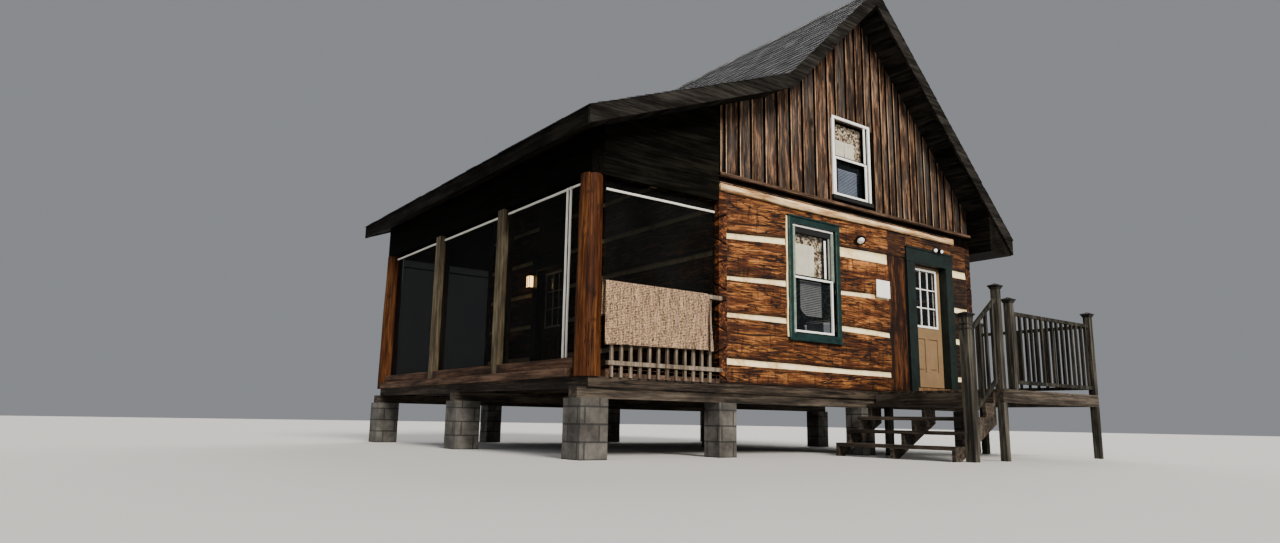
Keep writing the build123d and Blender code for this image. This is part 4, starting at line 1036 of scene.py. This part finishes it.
for a, b in spans:
    batten((POST_X - 0.012, a, 2.385), (POST_X - 0.012, b, 2.385), 0.028)
for y in (0.575, 0.655):
    batten((POST_X - 0.02, y, 0.24), (POST_X - 0.02, y, 2.4), 0.03, (0, 1, 0), 0.002)
for y in (0.075, 6.925):
    batten((-1.79, y, 2.3), (-0.02, y, 2.3), 0.028)
shape.make([white], "white_trim", smooth=30)


def let_down(made, cut, held):
    """Hang the cloth from the points in held, by a simulation whose rest shape is the flat cut"""
    stop = Shape("rail_stop")
    box(stop, (-1.95, -0.066, 0.1), (0.1, 0.006, 1.128), 0.003)
    against = add_object("rail_stop", new_mesh("rail_stop", stop.verts, stop.faces))
    against.modifiers.new("stop", "COLLISION")
    against.collision.thickness_outer = 0.003
    made.shape_key_add(name="as_hung", from_mix=False)
    flat = made.shape_key_add(name="as_cut", from_mix=False)
    flat.data.foreach_set("co", [c for point in cut for c in point])
    made.vertex_groups.new(name="held").add(held, 1.0, "REPLACE")
    drape = made.modifiers.new("drape", "CLOTH")
    for key, value in (("quality", 6), ("mass", 0.25), ("air_damping", 4), ("tension_stiffness", 25),
                       ("compression_stiffness", 25), ("shear_stiffness", 6), ("bending_stiffness", 0.25),
                       ("vertex_group_mass", "held"), ("rest_shape_key", flat)):
        setattr(drape.settings, key, value)
    drape.collision_settings.distance_min = 0.004
    drape.collision_settings.use_self_collision = False
    last = 70
    drape.point_cache.frame_start, drape.point_cache.frame_end = 1, last
    for moment in range(1, last + 1):
        bpy.context.scene.frame_set(moment)
    settled = made.evaluated_get(bpy.context.evaluated_depsgraph_get())
    result = bpy.data.meshes.new_from_object(settled)
    made.modifiers.remove(drape)
    made.data = result
    bpy.data.objects.remove(against)
    bpy.context.scene.frame_set(1)


def cloth():
    """The woven cloth over the porch rail: cut flat, gathered a little on the rail, then let down"""
    rows, columns, front_rows, over_rows = 66, 100, 42, 4
    top_width, flat_width, flare = 1.59, 1.76, 0.2
    front_drop, back_drop, over = 0.756, 0.4, 0.034
    x0, rail_z = -1.86, 1.134
    verts, cut, grains, held = [], [], [], []
    for i in range(rows + 1):
        for j in range(columns + 1):
            u = j / columns
            drop = front_drop - 0.03 * u
            fold = 1.9 + math.sin(u * 43 + 1.2) + 0.7 * math.sin(u * 71) + 1.6 * waver(u * 9.0, 1.3, 0)
            x, wide = x0 + top_width * u, flat_width * u
            if i < front_rows:
                run = drop * (i / front_rows - 1)
                hang = min(1.0, -run / 0.3)
                slant = flare * max(0.0, u - 0.6) / 0.4 * -run / drop
                x += slant + 0.2 * hang * (flat_width - top_width) * (u - 0.2)
                wide += slant
                y, z = -0.0735 - 0.0135 * hang * fold, rail_z + run
            elif i <= front_rows + over_rows:
                run = 2 * over * (i - front_rows) / over_rows
                angle = math.pi * run / (2 * over)
                y, z = -0.03 - math.cos(angle) * 0.0435, rail_z + 0.006 * math.sin(angle)
                held.append(len(verts))
            else:
                fall = back_drop * (i - front_rows - over_rows) / (rows - front_rows - over_rows)
                run = 2 * over + fall
                y, z = 0.0135 + 0.006 * min(1.0, fall / 0.3) * fold, rail_z - fall
            verts.append(tuple(home((x, y, z))))
            cut.append(tuple(home((x0 + wide, -0.07, rail_z + run))))
            grains.append((wide, run, 0.0))
    faces = []
    for i in range(rows):
        for j in range(columns):
            a = i * (columns + 1) + j
            faces.append((a, a + 1, a + columns + 2, a + columns + 1))
            p, q, r, s = (grains[k] for k in faces[-1])
    mesh = new_mesh("hanging_cloth_fabric", verts, faces, grains)
    mesh.materials.append(weave_mat)
    mesh.shade_smooth()
    made = add_object("hanging_cloth_fabric", mesh)
    let_down(made, cut, held)
    thick = made.modifiers.new("thickness", "SOLIDIFY")
    thick.thickness = 0.003
    thick.offset = 0
    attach(made, "cabin")
    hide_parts("hanging_cloth")


cloth()

# Decks, posts and rails
DECK_LEFT, DECK_RIGHT, DECK_FRONT = 3.255, 5.95, -2.02
shape = Shape("front_deck_boards")
rng = random.Random(601)
y = DECK_FRONT
while y < -0.05:
    top = rng.uniform(-0.003, 0.0)
    box(shape, (DECK_LEFT, y + 0.003, -0.04), (DECK_RIGHT, min(0, y + 0.138) - 0.003, top), 0.004,
        rng.random(), wobble=0.0012, n=12)
    y -= DECK_FRONT / 14.5
shape.make([grey_wood], "weathered_wood", "front_deck", 30)

shape = Shape("porch_deck_boards")
x = -2.15
while x < -0.02:
    a, b = (0.32, 6.68) if x < -1.785 else (0, LENGTH)
    box(shape, (x + 0.002, a, 0.05), (min(0.0, x + 0.14) - 0.002, b, 0.1 - rng.uniform(0, 0.002)), 0.004,
        rng.random(), 0, 1, 0.001, 14)
    x += 0.14
shape.make([deck_wood], "deck_wood", smooth=30)

shape = Shape("post_caps")
HALF = 0.0475
NEWEL_X, RAIL_Y = DECK_LEFT - 0.725, DECK_FRONT + HALF


def collar(x, y, low, high, half, bevel=0.004):
    box(shape, (x - half, y - half, low), (x + half, y + half, high), bevel, 0.35)


def cap(x, y, z, half=HALF):
    for low, high, grow in ((0.0, 0.022, 0.012), (0.022, 0.034, 0.022), (0.034, 0.05, 0.03)):
        collar(x, y, z + low, z + high, half + grow)
    reach = half + 0.024
    top = [(x + sx * reach, y + sy * reach, z + 0.05) for sx, sy in ((-1, -1), (1, -1), (1, 1), (-1, 1))]
    shape.add(top + [(x, y, z + 0.082)], [(0, 1, 4), (1, 2, 4), (2, 3, 4), (3, 0, 4)], 0.35)


cap(NEWEL_X, RAIL_Y, 0.9, 0.0625)
cap(DECK_LEFT + HALF, RAIL_Y, 1.36)
cap(DECK_LEFT + 0.36, RAIL_Y, 1.2)
cap(DECK_RIGHT - HALF, RAIL_Y, 1.2)
cap(DECK_RIGHT - HALF, -0.15, 1.2)
for z in (0.74, 0.8):
    collar(NEWEL_X, RAIL_Y, z, z + 0.022, 0.07, 0.006)
shape.make([cap_wood], "weathered_wood", smooth=30)

# Lamps and plaque
shape = Shape("wall_lamp_details")


def turned(centre, axis, rings, mat):
    """A turned form: rings of (distance along axis, radius) from centre"""
    axis = Vector(axis).normalized()
    side = axis.orthogonal().normalized()
    over = axis.cross(side)
    centre = Vector(centre)
    verts = [centre + axis * depth + (side * math.cos(angle) + over * math.sin(angle)) * radius
             for depth, radius in rings for angle in circle(24)]
    shape.add(verts, tube_faces(len(rings), 24), mat=mat)


# Round flood lamp: black shade, pale lens, black bracket to its right
flood, aim = (2.88, -0.05, 2.345), (-0.35, -0.6, -0.7)
turned((2.9, 0.0, 2.33), (0, -1, 0), ((0, 0.06), (0.018, 0.06), (0.024, 0.035), (0.05, 0.03)), 0)
turned(flood, aim, ((0, 0.05), (0.02, 0.075), (0.05, 0.084), (0.066, 0.084), (0.068, 0.06)), 0)
turned(flood, aim, ((0.05, 0.058), (0.07, 0.056), (0.085, 0.042), (0.092, 0.015)), 1)
turned((2.93, -0.03, 2.33), (0.75, -0.55, 0.1), ((0, 0.02), (0.03, 0.03), (0.06, 0.03), (0.075, 0.016)), 0)
# Twin lamp over the door
turned((4.93, 0.014, 2.44), (0, -1, 0), ((0, 0.06), (0.03, 0.058), (0.04, 0.04)), 0)
for x, aim in ((4.89, (-0.7, -0.8, -0.15)), (4.985, (-0.15, -1.0, -0.2))):
    turned((x, -0.02, 2.43), aim, ((0, 0.016), (0.03, 0.018), (0.04, 0.03), (0.09, 0.036), (0.096, 0.035)), 0)
    turned((x, -0.02, 2.43), aim, ((0.09, 0.031), (0.1, 0.029), (0.107, 0.012)), 1)
# Porch lantern: foot, roof in two steps, six bars and the lit pane
cx, cy, cz = -0.085, 5.06, 1.85
turned((0.0, cy, cz + 0.12), (-1, 0, 0), ((0, 0.05), (0.012, 0.05), (0.02, 0.02), (0.05, 0.014)), 0)


def lantern_box(half_x, half_y, low, high, bevel, mat=0, along=0, x=cx, y=cy):
    low, high = (x - half_x, y - half_y, cz + low), (x + half_x, y + half_y, cz + high)
    box(shape, low, high, bevel, 0.5, mat, along)


lantern_box(0.05, 0.07, 0, 0.02, 0.003)
lantern_box(0.055, 0.075, 0.23, 0.25, 0.003)
lantern_box(0.03, 0.045, 0.25, 0.29, 0.01)
for sx in (-1, 1):
    for sy in (-1, 0, 1):
        lantern_box(0.005, 0.005, 0.02, 0.23, 0.001, 0, 2, cx + sx * 0.045, cy + sy * 0.062)
lantern_box(0.038, 0.055, 0.025, 0.225, 0.004, 2, 2)
shape.make([black, bright, glow_mat], "lamp_metal", "wall_lamps", 40)

shape = Shape("bare_plaque")
box(shape, (3.29, -0.03, 1.47), (3.62, -0.012, 1.75), 0.003)
box(shape, (3.3, -0.034, 1.48), (3.61, -0.03, 1.74), 0.002)
shape.make([bright], "white_trim", smooth=30)

# Carried-over solids
finishes = (
    (stone_mat, "foundation_piers"), (grey_x, "floor_beams", "deck_frame"), (grey_rims, "floor_frame"),
    (floor_y, "cabin_floor"), (deck_y, "porch_deck"), (log_inner, "walls_over_doors"),
    # The gable backing is near black, painted shade in the gaps behind the boards
    (backing_shade, "front_gable", "back_gable"), (shaded_x, "porch_end_boards"), (green, "window_casings"),
    (shade_green, "door_jambs", "door_heads"), (clear_glass, "window_glass"), (steel, "door_hinges"),
    # The soffits and the eave box wood are near black, painted shade
    (soffit_shade, "roof_right", "roof_left", "porch_roof"), (eave_shade_y, "right_eave_box", "porch_fascia"),
    (eave_x, "right_barge_boards", "left_barge_boards", "porch_barge_boards"), (shaded_y, "porch_header"),
    (tan_z, "porch_square_posts"), (brown_y, "porch_sill_boards"), (rail_z, "porch_rail"),
    (grey_z, "deck_posts", "rail_posts"), (grey_y, "stair"), (shaded_z, "deck_rails"),
)
for material, *names in finishes:
    for name in names:
        node = nodes[name]
        node.data.materials.clear()
        node.data.materials.append(material)
        if name != "window_glass":
            bevel = node.modifiers.new("worn_edges", "BEVEL")
            bevel.width = 0.002 if name in ("door_hinges", "window_casings") else 0.006
            bevel.segments = 2
            bevel.limit_method = "ANGLE"
            bevel.angle_limit = math.radians(40)

# Stage, lights and camera
floor = new_mesh("studio_floor", [(-90, -90, 0), (90, -90, 0), (90, 90, 0), (-90, 90, 0)], [(0, 1, 2, 3)])
floor.materials.append(Shader("studio_floor_paint").done((0.55, 0.54, 0.52, 1), 0.9))
add_object("studio_floor", floor)

world = bpy.data.worlds.new("studio")
bpy.context.scene.world = world
world.use_nodes = True
background = world.node_tree.nodes["Background"]
background.inputs[0].default_value = (0.8, 0.83, 0.88, 1)
background.inputs[1].default_value = 0.32


def lamp(name, direction, energy, spread, colour):
    """Soft light from far away, so that the floor is lit evenly; direction points towards it"""
    data = bpy.data.lights.new(name, "SUN")
    data.energy = energy
    data.angle = math.radians(spread)
    data.color = colour
    add_object(name, data).rotation_euler = Vector(direction).to_track_quat("Z", "Y").to_euler()


lamp("key_light", (-0.12, -0.82, 0.5), 6.0, 24, (1.0, 0.94, 0.86))
lamp("fill_light", (-0.8, -0.25, 0.6), 0.9, 60, (0.93, 0.96, 1.0))
lamp("back_light", (0.7, 0.6, 0.6), 2.2, 40, (1.0, 0.97, 0.93))

yaw, pitch, roll = math.radians(36.38), math.radians(10.483), math.radians(0.941)
forward = Vector((math.sin(yaw) * math.cos(pitch), math.cos(yaw) * math.cos(pitch), math.sin(pitch)))
level = Vector((math.cos(yaw), -math.sin(yaw), 0))
rise = level.cross(forward)
cam_right = math.cos(roll) * level + math.sin(roll) * rise
cam_up = -math.sin(roll) * level + math.cos(roll) * rise
data = bpy.data.cameras.new("photo_camera")
data.sensor_width = 36
data.sensor_fit = "HORIZONTAL"
data.lens = 22.79
camera = add_object("photo_camera", data)
camera.matrix_world = Matrix.Translation((-9.28, -10.6255, 0.442)) @ Matrix(
    (cam_right, cam_up, -forward)).transposed().to_4x4()
bpy.context.scene.camera = camera

bpy.context.view_layer.update()
